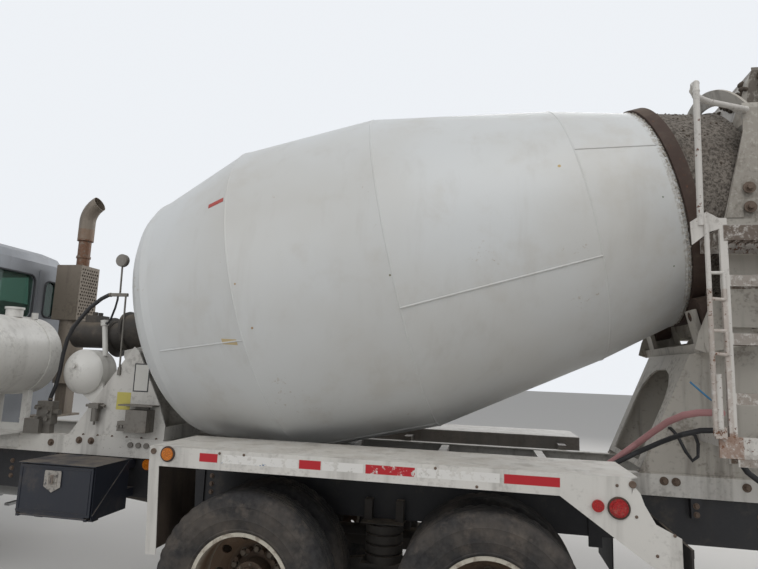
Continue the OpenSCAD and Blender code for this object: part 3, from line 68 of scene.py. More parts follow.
# Lamps: name, place, what it is turned to, size, power, colour
LAMPS = (
    ("key", (-6, 7, 12), (-1, 0, 1.5), 8, 560, (1.0, 0.99, 0.97)),
    ("fill", (5, 9, 6), (0, 0, 1.5), 6, 190, (1, 1, 1)),
    ("back", (-4, -9, 8), (0, 0, 1.5), 7, 420, (1, 1, 1)),
)
WORLD_COLOUR = (0.93, 0.96, 1.0, 1)
WORLD_AS_LIGHT, WORLD_AS_SEEN = 0.42, 0.92
FLOOR_COLOUR, FLOOR_HALF = (0.72, 0.70, 0.67, 1), 60


def place(x, y, z):
    """A point given from the tandem's middle, in millimetres, in the row frame."""
    return Vector((x / 1000 + DATUM, y / 1000, z / 1000))


# ---------------------------------------------------------------- camera, floor and light

def rgb(r, g, b):
    """A linear colour from a display colour, 0 to 255."""
    return tuple(c / 12.92 if c <= 0.04045 else ((c + 0.055) / 1.055) ** 2.4
                 for c in (r / 255, g / 255, b / 255))


def make_camera():
    yaw, pitch, roll = map(math.radians, CAMERA_ANGLES)
    f = Vector((math.sin(yaw) * math.cos(pitch), -math.cos(yaw) * math.cos(pitch), math.sin(pitch)))
    r = f.cross(Vector((0, 0, 1))).normalized()
    u = r.cross(f)
    right = math.cos(roll) * r + math.sin(roll) * u
    up = right.cross(f)
    cam = bpy.data.cameras.new("camera")
    cam.sensor_fit = "HORIZONTAL"
    cam.sensor_width = 36
    cam.lens = CAMERA_LENS
    cam.clip_end = 200
    cam.dof.use_dof = False
    ob = bpy.data.objects.new("camera", cam)
    m = Matrix((right, up, -f)).transposed().to_4x4()
    m.translation = place(*CAMERA_PLACE)
    ob.matrix_world = m
    bpy.context.scene.collection.objects.link(ob)
    bpy.context.scene.camera = ob


def make_lamp(name, at, to, size, power, colour):
    lamp = bpy.data.lights.new(name, "AREA")
    lamp.shape = "DISK"
    lamp.size = size
    lamp.energy = power
    lamp.color = colour
    ob = bpy.data.objects.new(name, lamp)
    ob.location = at
    ob.rotation_euler = (Vector(to) - Vector(at)).to_track_quat("-Z", "Y").to_euler()
    bpy.context.scene.collection.objects.link(ob)


def make_world():
    """An even pale sky, brighter to the camera, in metal and through glass than it is as light."""
    world = bpy.data.worlds.new("studio")
    bpy.context.scene.world = world
    world.use_nodes = True
    t = world.node_tree
    t.nodes.clear()
    out = t.nodes.new("ShaderNodeOutputWorld")
    bg = t.nodes.new("ShaderNodeBackground")
    path = t.nodes.new("ShaderNodeLightPath")
    seen = path.outputs["Is Camera Ray"]
    for ray in ("Is Glossy Ray", "Is Transmission Ray"):
        either = t.nodes.new("ShaderNodeMath")
        either.operation = "MAXIMUM"
        t.links.new(seen, either.inputs[0])
        t.links.new(path.outputs[ray], either.inputs[1])
        seen = either.outputs[0]
    ramp = t.nodes.new("ShaderNodeMapRange")
    t.links.new(seen, ramp.inputs["Value"])
    ramp.inputs["To Min"].default_value = WORLD_AS_LIGHT
    ramp.inputs["To Max"].default_value = WORLD_AS_SEEN
    t.links.new(ramp.outputs[0], bg.inputs["Strength"])
    bg.inputs["Color"].default_value = WORLD_COLOUR
    t.links.new(bg.outputs[0], out.inputs["Surface"])


def make_floor():
    me = bpy.data.meshes.new("floor")
    bm = bmesh.new()
    bmesh.ops.create_grid(bm, x_segments=1, y_segments=1, size=FLOOR_HALF)
    bm.to_mesh(me)
    bm.free()
    floor = bpy.data.objects.new("floor", me)
    bpy.context.scene.collection.objects.link(floor)
    mat = bpy.data.materials.new("floor_pale")
    mat.use_nodes = True
    b = mat.node_tree.nodes["Principled BSDF"]
    b.inputs["Base Color"].default_value = FLOOR_COLOUR
    b.inputs["Roughness"].default_value = 0.95
    b.inputs["Specular IOR Level"].default_value = 0.1
    me.materials.append(mat)


def make_stage():
    bpy.context.scene.view_settings.view_transform = "Standard"
    make_world()
    make_floor()
    for lamp in LAMPS:
        make_lamp(*lamp)


# ---------------------------------------------------------------- materials

class Look:
    """A material built from nodes, with short calls for the patterns used here."""

    def __init__(self, name, rough=0.5, metal=0.0, spec=0.5):
        self.mat = bpy.data.materials.new(name)
        self.mat.use_nodes = True
        self.t = self.mat.node_tree
        self.b = self.t.nodes["Principled BSDF"]
        self.b.inputs["Metallic"].default_value = metal
        self.b.inputs["Roughness"].default_value = rough
        self.b.inputs["Specular IOR Level"].default_value = spec
        self.co = self.t.nodes.new("ShaderNodeTexCoord").outputs["Object"]
        self.axes = None

    def put(self, node, key, value):
        if isinstance(value, bpy.types.NodeSocket):
            self.t.links.new(value, node.inputs[key])
        elif isinstance(value, (tuple, list)) and len(value) == 3 and node.inputs[key].type == "RGBA":
            node.inputs[key].default_value = (*value, 1)
        else:
            node.inputs[key].default_value = value

    def math(self, op, a, b=0.0, clamp=False):
        n = self.t.nodes.new("ShaderNodeMath")
        n.operation = op
        n.use_clamp = clamp
        self.put(n, 0, a)
        self.put(n, 1, b)
        return n.outputs[0]

    def times(self, a, b):
        return self.math("MULTIPLY", a, b)

    def plus(self, a, b, clamp=False):
        return self.math("ADD", a, b, clamp)

    def minus(self, a, b):
        return self.math("SUBTRACT", a, b)

    def vmath(self, op, a, b=(0, 0, 0), out=0):
        n = self.t.nodes.new("ShaderNodeVectorMath")
        n.operation = op
        self.put(n, 0, a)
        self.put(n, 1, b)
        return n.outputs[out]

    def noise(self, scale, detail=4, rough=0.55, stretch=None, seed=0.0):
        v = self.co
        if stretch:
            v = self.vmath("MULTIPLY", v, stretch)
        if seed:
            v = self.vmath("ADD", v, (seed, seed * 0.7, seed * 1.3))
        n = self.t.nodes.new("ShaderNodeTexNoise")
        self.put(n, "Vector", v)
        n.inputs["Scale"].default_value = scale
        n.inputs["Detail"].default_value = detail
        n.inputs["Roughness"].default_value = rough
        return n.outputs[0]

    def cells(self, scale):
        """Distance to the nearest of scattered points."""
        n = self.t.nodes.new("ShaderNodeTexVoronoi")
        self.put(n, "Vector", self.co)
        n.inputs["Scale"].default_value = scale
        return n.outputs["Distance"]

    def step(self, value, lo, hi):
        """0 below lo, 1 above hi, smooth between. hi may lie below lo."""
        n = self.t.nodes.new("ShaderNodeMapRange")
        n.interpolation_type = "SMOOTHSTEP"
        self.put(n, "Value", value)
        if lo > hi:
            lo, hi = hi, lo
            n.inputs["To Min"].default_value = 1
            n.inputs["To Max"].default_value = 0
        n.inputs["From Min"].default_value = lo
        n.inputs["From Max"].default_value = hi
        return n.outputs[0]

    def mix(self, fac, a, b):
        n = self.t.nodes.new("ShaderNodeMix")
        n.data_type = "RGBA"
        n.clamp_factor = True
        self.put(n, 0, fac)
        self.put(n, 6, a)
        self.put(n, 7, b)
        return n.outputs[2]

    def xyz(self, i):
        if self.axes is None:
            self.axes = self.t.nodes.new("ShaderNodeSeparateXYZ")
            self.t.links.new(self.co, self.axes.inputs[0])
        return self.axes.outputs[i]

    def normal_z(self):
        g = self.t.nodes.new("ShaderNodeNewGeometry")
        n = self.t.nodes.new("ShaderNodeSeparateXYZ")
        self.t.links.new(g.outputs["Normal"], n.inputs[0])
        return n.outputs[2]

    def along(self, origin, axis):
        """Distance from a point, measured along an axis."""
        away = self.vmath("SUBTRACT", self.co, tuple(origin))
        return self.vmath("DOT_PRODUCT", away, tuple(axis), out="Value")

    def spot(self, at, radius):
        """A ragged blot round a point."""
        d = self.vmath("DISTANCE", self.co, at, out="Value")
        d = self.plus(d, self.times(self.minus(self.noise(60, 2), 0.5), radius * 0.9))
        return self.step(d, radius, radius * 0.5)

    def box_mask(self, lo, hi, soft=0.002):
        """1 inside a box in the row frame."""
        m = None
        for i in range(3):
            c, h = (lo[i] + hi[i]) / 2, (hi[i] - lo[i]) / 2
            d = self.math("ABSOLUTE", self.minus(self.xyz(i), c))
            k = self.step(d, h + soft, h - soft)
            m = k if m is None else self.times(m, k)
        return m

    def bump(self, height, strength=0.3, distance=0.002):
        n = self.t.nodes.new("ShaderNodeBump")
        n.inputs["Strength"].default_value = strength
        n.inputs["Distance"].default_value = distance
        self.put(n, "Height", height)
        self.t.links.new(n.outputs[0], self.b.inputs["Normal"])

    def colour(self, c):
        self.put(self.b, "Base Color", c)

    def rough(self, r):
        self.put(self.b, "Roughness", r)


RUST = rgb(112, 62, 34)
RUST_DARK = rgb(62, 38, 26)
RUST_PALE = rgb(158, 100, 58)
DUST = rgb(150, 136, 118)
GRIME = rgb(74, 66, 58)


def weathered(name, base, dirt=0.3, rust=0.1, dust=0.2, rough=0.45, chips=0.0, metal=0.0, streak=0.3):
    """Painted or bare metal with tone shifts, streaks, dust on its upper faces, chips and rust."""
    m = Look(name, rough, metal)
    big = m.noise(1.3, 3, 0.5)
    fine = m.noise(38, 5, 0.6)
    c = m.mix(m.step(big, 0.35, 0.7), base, tuple(x * 0.90 for x in base))
    run = m.noise(7, 4, 0.6, stretch=(1, 1, 0.09), seed=3.1)
    c = m.mix(m.times(m.step(run, 0.50, 0.74), streak), c, GRIME)
    blot = m.noise(4.2, 6, 0.68, seed=7.7)
    dusty = tuple((x + y) / 2 for x, y in zip(DUST, base))
    c = m.mix(m.times(m.step(blot, 0.52, 0.78), dirt), c, dusty)
    c = m.mix(m.times(m.step(m.times(fine, blot), 0.26, 0.40), dirt * 0.8), c, GRIME)
    up = m.step(m.normal_z(), 0.35, 0.95)
    c = m.mix(m.times(m.times(up, m.step(m.noise(9, 4), 0.25, 0.7)), dust), c, DUST)
    r = m.plus(rough, m.times(m.minus(fine, 0.5), 0.25))
    r = m.plus(r, m.times(up, dust * 0.4), clamp=True)
    height = m.times(fine, 0.4)
    if chips > 0:
        flake = m.plus(m.noise(48, 8, 0.78, seed=1.9), m.times(m.noise(3.6, 3, seed=5), 0.42))
        k = m.step(flake, 0.93 - chips * 0.24, 0.95 - chips * 0.24)
        c = m.mix(k, c, m.mix(m.noise(60, 3), RUST, RUST_DARK))
        height = m.minus(height, k)
    if rust > 0:
        k = m.step(m.noise(17, 8, 0.78, seed=11.3), 0.74 - rust * 0.25, 0.86 - rust * 0.25)
        c = m.mix(k, c, m.mix(m.noise(45, 4), RUST, RUST_PALE))
        r = m.math("MAXIMUM", r, m.times(k, 0.8))
    m.colour(c)
    m.rough(r)
    m.bump(height, 0.25, 0.0015)
    m.c = c
    return m


# Rust and scuffs on the drum: place, radius and tone
DRUM_MARKS = [
    ((-0.605, 1.187, 2.237), 0.009, rgb(168, 140, 100)),
    ((-0.713, 1.137, 1.976), 0.010, rgb(160, 132, 92)),
    ((-1.553, 1.168, 2.302), 0.008, rgb(96, 92, 60)),
    ((-2.533, 0.927, 3.024), 0.013, rgb(184, 156, 96)),
    ((-3.148, 0.817, 2.851), 0.007, rgb(84, 104, 70)),
    ((-3.236, 0.682, 2.452), 0.007, rgb(90, 112, 76)),
]


def drum_look():
    """Paint in several whites, the marks on it, and the crust of the rear cone."""
    m = Look("drum_paint", 0.42, 0.0, 0.4)
    base = rgb(209, 211, 211)
    s = m.along(DRUM_O, DRUM_A)
    big = m.noise(0.75, 3, 0.55)
    c = m.mix(m.step(big, 0.3, 0.72), base, rgb(200, 199, 195))
    patch = m.noise(2.6, 5, 0.62, seed=4.4)
    c = m.mix(m.times(m.step(patch, 0.52, 0.72), 0.35), c, rgb(190, 186, 178))
    run = m.noise(6, 4, 0.6, stretch=(1, 1, 0.12), seed=9.1)
    c = m.mix(m.times(m.step(run, 0.52, 0.8), 0.22), c, rgb(168, 162, 152))
    # Film of cement dust that thickens towards the mouth
    darkening = m.times(m.step(s, 0.9, 2.0), m.step(m.noise(5, 5, 0.65, seed=2.2), 0.42, 0.72))
    c = m.mix(m.times(darkening, 0.45), c, rgb(188, 182, 172))
    fine = m.noise(46, 5, 0.6)
    specks = m.step(m.times(m.noise(30, 6, 0.75, seed=6.3), m.noise(2.2, 2, seed=8)), 0.40, 0.46)
    c = m.mix(m.times(specks, 0.5), c, rgb(150, 128, 98))
    # The paint ends in a crusty edge, and the cone behind it is coated with cement
    edge = m.plus(s, m.times(m.minus(m.noise(30, 5, 0.7, seed=1.2), 0.5), 0.016))
    crusty = m.step(edge, 1.846, 1.850)
    lip = m.times(m.step(edge, 1.800, 1.812), m.step(m.noise(34, 5, 0.7, seed=4.0), 0.42, 0.60))
    c = m.mix(m.times(lip, 0.55), c, rgb(150, 140, 126))
    crust = m.mix(m.step(m.noise(52, 6, 0.75), 0.42, 0.60), rgb(128, 121, 113), rgb(74, 68, 62))
    crust = m.mix(m.times(m.step(m.noise(4, 4, 0.6, seed=3.0), 0.5, 0.8), 0.45), crust, rgb(98, 80, 64))
    for at, radius, tone in DRUM_MARKS:
        c = m.mix(m.spot(at, radius), c, tone)
    m.colour(m.mix(crusty, c, crust))
    r = m.plus(0.38, m.times(fine, 0.14))
    m.rough(m.math("MAXIMUM", r, m.times(crusty, 0.95)))
    dents = m.times(m.noise(1.7, 2, 0.4, seed=5.5), 6.0)
    lumps = m.plus(m.noise(60, 6, 0.75), m.cells(70))
    lumps = m.times(lumps, m.plus(m.times(crusty, 5.0), m.times(lip, 2.5)))
    m.bump(m.plus(m.plus(dents, m.times(fine, 0.25)), lumps), 0.35, 0.003)
    return m


def simple(name, base, rough, vary=0.12, bump=0.15, scale=20):
    """A plain stuff with slight tone and gloss changes and a fine surface."""
    m = Look(name, rough)
    n = m.noise(scale, 5, 0.6)
    g = m.noise(scale * 0.13, 3, 0.5, seed=2)
    c = m.mix(m.step(g, 0.3, 0.7), base, tuple(x * (1 - vary) for x in base))
    c = m.mix(m.times(m.step(n, 0.5, 0.75), 0.35), c, tuple(x * (1 - 2 * vary) for x in base))
    m.colour(c)
    m.rough(m.plus(rough, m.times(m.minus(n, 0.5), 0.2), clamp=True))
    m.bump(n, bump, 0.001)
    return m


def rubber_look():
    m = Look("tyre_rubber", 0.85, 0.0, 0.3)
    n = m.noise(30, 5, 0.6)
    c = m.mix(m.step(n, 0.3, 0.75), rgb(58, 57, 57), rgb(44, 43, 44))
    dust = m.times(m.step(m.noise(3.4, 5, 0.65, seed=2.6), 0.42, 0.72), 0.5)
    c = m.mix(dust, c, rgb(106, 98, 90))
    low = m.times(m.step(m.noise(11, 5, 0.65, seed=6.6), 0.5, 0.72), 0.35)
    c = m.mix(low, c, rgb(120, 110, 100))
    m.colour(c)
    m.rough(m.plus(0.78, m.times(n, 0.2), clamp=True))
    m.bump(n, 0.25, 0.001)
    return m


def wheel_radius(m):
    """Distance from the nearest axle's line, seen along Y."""
    flat = m.vmath("MULTIPLY", m.co, (1, 0, 1))
    best = None
    for x, z in ((TWIN_X, TWIN_Z), (-TWIN_X, TWIN_Z), (FRONT_X, FRONT_Z)):
        d = m.vmath("DISTANCE", flat, tuple(place(x, 0, z)), out="Value")
        best = d if best is None else m.math("MINIMUM", best, d)
    return best


def rim_look():
    m = weathered("rim_rusty", rgb(112, 92, 74), 0.6, 0.30, 0.25, 0.75, streak=0.2)
    r = wheel_radius(m)
    worn = m.step(m.noise(16, 5, 0.7, seed=3.3), 0.36, 0.56)
    lip = m.times(m.step(r, 0.272, 0.280), m.plus(0.35, m.times(worn, 0.6)))
    c = m.mix(lip, m.c, rgb(196, 190, 176))
    c = m.mix(m.times(m.step(r, 0.200, 0.150), 0.55), c, rgb(62, 50, 42))
    m.colour(c)
    return m


def glass_look():
    m = Look("cab_glass", 0.03, 0.0, 0.5)
    m.b.inputs["Base Color"].default_value = (*rgb(128, 160, 148), 1)
    m.b.inputs["Transmission Weight"].default_value = 0.85
    m.b.inputs["IOR"].default_value = 1.45
    return m


TAPE_RED, TAPE_PALE = rgb(178, 24, 36), rgb(222, 220, 216)
TAPE_LOW, TAPE_HIGH = 1.192, 1.240
# Spans of the tape from the tandem's middle in metres, with tone, and 1 where it is ragged
TAPE = (
    (0.852, 0.964, TAPE_RED, 0), (0.370, 0.823, TAPE_PALE, 1), (0.236, 0.362, TAPE_RED, 0),
    (-0.004, 0.228, TAPE_PALE, 1), (-0.290, -0.018, TAPE_RED, 1), (-0.738, -0.302, TAPE_PALE, 1),
    (-1.042, -0.760, TAPE_RED, 0),
)


def tape_in(m, c, y):
    """Red and pale marker tape on a fender's edge, worn through where it is ragged."""
    for x0, x1, tone, ragged in TAPE:
        x0, x1 = x0 + DATUM, x1 + DATUM
        k = m.box_mask((x0, y - 0.004, TAPE_LOW), (x1, y + 0.004, TAPE_HIGH), 0.0015)
        if ragged:
            k = m.times(k, m.step(m.noise(24, 5, 0.7, seed=x0 * 7), 0.40, 0.46))
        c = m.mix(k, c, tone)
    return c


def lamp_look():
    """Red lenses, apart from the two amber ones at the front, in ribbed plastic."""
    m = Look("lamp_lenses", 0.18, 0.0, 0.5)
    rib = m.noise(160, 2, 0.5)
    red = m.mix(m.step(rib, 0.4, 0.6), rgb(176, 26, 28), rgb(140, 18, 22))
    amber = m.mix(m.step(rib, 0.4, 0.6), rgb(206, 120, 34), rgb(170, 92, 26))
    front = m.step(m.xyz(0), DATUM + 1.0, DATUM + 1.05)
    c = m.mix(front, red, amber)
    dust = m.times(m.step(m.noise(26, 5, 0.65), 0.5, 0.75), 0.35)
    m.colour(m.mix(dust, c, DUST))
    m.bump(m.cells(220), 0.3, 0.001)
    return m


def fender_marks_and_shade(m):
    """Tape on both outer edges, blue scuffs, and painted shade in streaky dark brown on the front panel
    behind its white strip and on the faces inboard of the edge and below its top.
    """
    c = m.c
    for y in (FENDER_Y / 1000, -FENDER_Y / 1000):
        c = tape_in(m, c, y)
    blue = m.box_mask((DATUM + 0.45, 1.215, 1.19), (DATUM + 0.83, 1.225, 1.225), 0.004)
    blue = m.times(blue, m.step(m.noise(34, 6, 0.75, seed=8.8), 0.60, 0.64))
    c = m.mix(blue, c, rgb(70, 110, 150))
    side = m.math("ABSOLUTE", m.xyz(1))
    # Painted shade, streaky dark brown: the front panel below and behind the white strip
    panel = m.times(m.step(m.xyz(0), DATUM + 1.18, DATUM + 1.20), m.step(side, 1.2135, 1.2120))
    panel = m.times(panel, m.step(m.xyz(2), 1.20, 1.17))
    streaky_mask = m.step(m.noise(7, 5, 0.65, stretch=(1, 1, 0.2)), 0.35, 0.7)
    darkening = m.mix(streaky_mask, rgb(96, 84, 74), rgb(66, 58, 52))
    c = m.mix(m.times(panel, 0.92), c, darkening)
    # Painted shade in the same dark brown: every face inboard of the outer edge and below its top, the arch
    # interior too
    inner = m.times(m.step(side, 1.2145, 1.2140), m.step(m.xyz(2), 1.2590, 1.2575))
    c = m.mix(m.times(inner, 0.8), c, darkening)
    m.colour(c)


def toned(m, *zones):
    """Paints boxes of a look in other tones: (lowest corner, highest corner, tone, strength)."""
    c = m.c
    for lo, hi, tone, k in zones:
        ragged = m.step(m.noise(30, 5, 0.7, seed=lo[2]), 0.30, 0.52)
        c = m.mix(m.times(m.times(m.box_mask(lo, hi, 0.004), ragged), k), c, tone)
    m.colour(c)
    return m


def zone(x0, x1, y0, y1, z0, z1, tone, k=1.0):
    """A zone for toned: millimetres from the tandem's middle, display colour, strength."""
    return tuple(place(x0, y0, z0)), tuple(place(x1, y1, z1)), rgb(*tone), k


# Tone, dirt, rust, dust, roughness, chips, metal and streaks of each weathered look
WEATHERED = {
    "fender": ("fender_white", (212, 209, 203), 0.28, 0.05, 0.30, 0.5, 0.05, 0.0, 0.35),
    "white": ("paint_white", (206, 203, 197), 0.35, 0.10, 0.30, 0.5, 0.10, 0.0, 0.45),
    "chipped": ("paint_chipped", (206, 202, 196), 0.45, 0.30, 0.3, 0.55, 0.45, 0.0, 0.4),
    "pale": ("paint_pale", (182, 177, 168), 0.55, 0.14, 0.45, 0.65, 0.06, 0.0, 0.7),
    "black": ("frame_black", (34, 34, 37), 0.30, 0.05, 0.30, 0.6, 0.0, 0.0, 0.1),
    "box": ("box_black", (32, 36, 46), 0.30, 0.02, 0.40, 0.45, 0.0, 0.0, 0.12),
    "steel": ("steel_worn", (120, 116, 110), 0.5, 0.2, 0.3, 0.5, 0.0, 0.5, 0.3),
    "cast": ("cast_dusty", (70, 66, 62), 0.6, 0.2, 0.5, 0.75, 0.0, 0.0, 0.3),
    "rusty": ("rust_dark", (64, 48, 40), 0.5, 0.6, 0.2, 0.8, 0.0, 0.0, 0.2),
    "cement": ("cement_coated", (150, 142, 132), 0.6, 0.12, 0.2, 0.9, 0.05, 0.0, 0.5),
    "tank": ("tank_white", (214, 212, 207), 0.28, 0.05, 0.2, 0.42, 0.05, 0.0, 0.30),
    "alloy": ("alloy_dull", (168, 168, 168), 0.2, 0.0, 0.25, 0.32, 0.0, 0.8, 0.3),
    "guard": ("muffler_sheet", (128, 118, 106), 0.5, 0.25, 0.1, 0.55, 0.0, 0.3, 0.6),
    "cab": ("cab_silver", (142, 145, 150), 0.10, 0.0, 0.12, 0.34, 0.0, 0.2, 0.16),
    "flap": ("flap_rubber", (42, 41, 41), 0.5, 0.0, 0.4, 0.85, 0.0, 0.0, 0.3),
    "bolts": ("bolts_dirty", (104, 88, 76), 0.5, 0.5, 0.3, 0.6, 0.0, 0.3, 0.3),
    "nuts": ("nuts_worn", (116, 106, 94), 0.5, 0.4, 0.3, 0.55, 0.0, 0.45, 0.3),
}

# Tone and roughness of each plain look, then how much it varies, its bump and their scale
SIMPLE = {
    "trim": ("cab_trim", (54, 55, 58), 0.7),
    "hose_black": ("hose_black", (40, 40, 42), 0.62),
    "hose_pink": ("hose_pink", (176, 128, 128), 0.6),
    "crust": ("cement_crust", (92, 82, 72), 0.95, 0.3, 0.5, 50),
    "lip": ("lip_crust", (178, 172, 162), 0.9, 0.2, 0.5, 50),
    "label_yellow": ("label_yellow", (196, 184, 96), 0.5, 0.12, 0.15, 30),
    "label_white": ("label_white", (206, 204, 198), 0.5, 0.08, 0.15, 30),
    "tag_blue": ("tag_blue", (44, 110, 150), 0.5, 0.2),
    "seat": ("seat_cloth", (62, 62, 66), 0.9, 0.2, 0.4, 240),
    "strip_red": ("strip_red", (176, 66, 56), 0.5, 0.25),
    "patch_tan": ("patch_tan", (196, 176, 136), 0.7, 0.25),
    "lens": ("lens_clear", (206, 210, 210), 0.08, 0.08, 0.05),
}

# Worn steps, platform edge and tubes of the ladder; hopper and pedestal; latch; the heat shield's seams
ZONES = {
    "chipped": (
        zone(-2324, -1940, 984, 1104, 1334, 1396, (112, 96, 82)),
        zone(-2324, -1940, 984, 1104, 1645, 1707, (112, 96, 82)),
        zone(-2324, -1940, 984, 1104, 1956, 2018, (104, 90, 78)),
        zone(-2324, -1940, 984, 1104, 2267, 2329, (104, 90, 78)),
        zone(-2612, -1915, 740, 1112, 2512, 2601, (96, 84, 74)),
        zone(-1920, -1800, 1080, 1125, 1440, 2250, (126, 90, 62), 0.35),
        zone(-1960, -1830, 1080, 1112, 1370, 1500, (120, 78, 48), 0.7),
    ),
    "pale": (
        zone(-3020, -2380, -460, 460, 3560, 3860, (84, 74, 64), 0.8),
        zone(-2420, -2080, 699, 720, 2740, 3450, (120, 112, 102), 0.5),
    ),
    "box": (
        zone(2030, 2170, 979, 990, 885, 1030, (172, 166, 158), 0.95),
        zone(2060, 2140, 988, 1000, 925, 1005, (120, 108, 98)),
    ),
    "guard": (
        zone(3380, 3620, -960, -760, 2700, 2990, (104, 70, 48), 0.9),
        zone(3380, 3620, -960, -760, 2990, 3100, (120, 92, 70), 0.6),
    ),
}

# The nodes that wear each look
NODE_LOOKS = {
    "black": "chassis_frame", "white": "subframe front_pedestal", "alloy": "front_bumper side_tanks grille",
    "cast": "powertrain rear_suspension rear_axles front_axle drum_drive knuckle_left knuckle_right tie_rod",
    "cab": "cab_shell hood door_left door_right", "trim": "cab_interior steering_wheel",
    "box": "toolbox toolbox_door", "guard": "exhaust", "tank": "tanks", "pale": "rear_pedestal hopper",
    "cement": "swivel_mount drum_fins chute_swivel main_chute fold_chute", "lens": "headlamps",
    "chipped": "platform_ladder", "fender": "rear_fenders", "flap": "mud_flaps", "hose_pink": "pink_hose",
    "hose_black": "black_hoses", "steel": "valves_gauge lift_cylinder lift_rod", "lamps": "lamps",
    "rusty": "track_ring roller_left roller_right", "drum": "drum_shell",
    "glass": "cab_glass door_glass_left door_glass_right",
    "rubber": "tyre_front_left tyre_front_right tyres_mid_left tyres_mid_right"
              " tyres_rear_left tyres_rear_right",
    "rim": "rim_front_left rim_front_right rims_mid_left rims_mid_right rims_rear_left rims_rear_right",
}

LOOK = {}


def make_looks():
    for key, (name, tone, *wear) in WEATHERED.items():
        LOOK[key] = toned(weathered(name, rgb(*tone), *wear), *ZONES.get(key, ()))
    fender_marks_and_shade(LOOK["fender"])
    for key, (name, tone, *surface) in SIMPLE.items():
        LOOK[key] = simple(name, rgb(*tone), *surface)
    LOOK["rubber"] = rubber_look()
    LOOK["drum"] = drum_look()
    LOOK["lamps"] = lamp_look()
    LOOK["glass"] = glass_look()
    LOOK["rim"] = rim_look()


def dress_nodes():
    for look, names in NODE_LOOKS.items():
        for name in names.split():
            for slot in NODES[name].material_slots:
                slot.material = LOOK[look].mat


# ---------------------------------------------------------------- mesh helpers

def new_piece(name, bm, look, body, sharp=0.6):
    """A mesh piece in the row frame that rides on a body. Edges that turn by more than sharp stay crisp."""
    bm.normal_update()
    for e in bm.edges:
        e.smooth = len(e.link_faces) == 2 and e.calc_face_angle(0) < sharp
    for f in bm.faces:
        f.smooth = True
    me = bpy.data.meshes.new(name)
    bm.to_mesh(me)
    bm.free()
    me.materials.append(LOOK[look].mat)
    ob = bpy.data.objects.new(name, me)
    bpy.context.scene.collection.objects.link(ob)
    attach(ob, body)
    return ob


def loft(bm, rings):
    """Closed skin over rings of points with equal counts, with a cap at each end."""
    rows = [[bm.verts.new(q) for q in ring] for ring in rings]
    n = len(rows[0])
    for a, b in zip(rows, rows[1:]):
        for k in range(n):
            j = (k + 1) % n
            bm.faces.new((a[k], a[j], b[j], b[k]))
    bm.faces.new(list(reversed(rows[0])))
    bm.faces.new(rows[-1])


def frame_of(d):
    """The unit vector along d, and two across it."""
    d = Vector(d).normalized()
    u = d.cross(Vector((0.13, 0.21, 1)) if abs(d.z) < 0.9 else Vector((1, 0.1, 0))).normalized()
    return d, u, d.cross(u)


def circle(q, u, v, r, n, squash=1.0):
    """Points round q in the plane of u and v, flattened along v."""
    turns = [2 * math.pi * k / n for k in range(n)]
    return [q + r * (math.cos(t) * u + squash * math.sin(t) * v) for t in turns]


def tube(bm, pts, r, n=8, squash=1.0):
    """Tube along points; r is a number or one number a point."""
    pts = [Vector(q) for q in pts]
    radii = r if isinstance(r, list) else [r] * len(pts)
    rings = []
    for i, q in enumerate(pts):
        _, u, v = frame_of(pts[min(i + 1, len(pts) - 1)] - pts[max(i - 1, 0)])
        rings.append(circle(q, u, v, radii[i], n, squash))
    loft(bm, rings)


def turned(bm, at, axis, profile, n=24):
    """Solid of revolution: profile lists (distance along the axis, radius)."""
    d, u, v = frame_of(axis)
    loft(bm, [circle(Vector(at) + d * s, u, v, r, n) for s, r in profile])


def bolt(bm, at, axis, r, h):
    """Hex head with a chamfer, on a washer."""
    turned(bm, at, axis, [(-0.002, r * 1.35), (0.003, r * 1.35)], 16)
    turned(bm, at, axis, [(0.003, r), (h * 0.8, r), (h, r * 0.8)], 6)


def block(bm, lo, hi):
    """A box between two corners; gives its vertices."""
    matrix = Matrix.Translation((lo + hi) / 2) @ Matrix.Diagonal((*(hi - lo), 1))
    return bmesh.ops.create_cube(bm, size=1.0, matrix=matrix)["verts"]


def plate(bm, x0, x1, z0, z1, depth):
    """Thin plate with soft edges on the pedestal's side, in millimetres."""
    verts = block(bm, place(x0, PEDESTAL_Y, z0), place(x1, PEDESTAL_Y + depth, z1))
    edges = list({e for v in verts for e in v.link_edges})
    bmesh.ops.bevel(bm, geom=edges, offset=0.0008, segments=2, affect="EDGES")


def drum_radius(s):
    """Outer radius of the drum at a station along its axis, in metres."""
    if s < SEAM_1:
        return BELLY_RADIUS - (SEAM_1 - s) * HEAD_SLOPE
    if s < SEAM_2:
        return BELLY_RADIUS
    if s < SEAM_3:
        return BELLY_RADIUS - (s - SEAM_2) * (BELLY_RADIUS - SEAM_3_RADIUS) / (SEAM_3 - SEAM_2)
    return SEAM_3_RADIUS - (s - SEAM_3) * (SEAM_3_RADIUS - MOUTH_RADIUS) / (MOUTH - SEAM_3)


def on_drum(s, angle, out=0.0):
    """Point on the drum's skin; the angle runs from the top toward the left side, in degrees."""
    a = math.radians(angle)
    return DRUM_O + DRUM_A * s + (drum_radius(s) + out) * (math.cos(a) * DRUM_U + math.sin(a) * LEFT)


def drum_patch(bm, s0, s1, a0, a1, thick, slant):
    """Thin plate that lies on the drum between two stations and two angles, turned by slant at its end."""
    rings = []
    for i in range(7):
        s = s0 + (s1 - s0) * i / 6
        angles = [a0 + slant * i / 6 + (a1 - a0) * j / 3 for j in range(4)]
        rings.append([on_drum(s, a, -0.002) for a in angles] + [on_drum(s, a, thick) for a in angles[::-1]])
    loft(bm, rings)


# ---------------------------------------------------------------- drum marks

# Weld beads along the drum: first and last station, and the angle of one of the two
DRUM_WELDS = ((-1.575, SEAM_1, 110), (SEAM_1, SEAM_2, 165), (SEAM_2, SEAM_3, 110.4), (SEAM_3, 1.822, 67))
WELD_STEP, WELD_RADIUS = 0.02, 0.0052


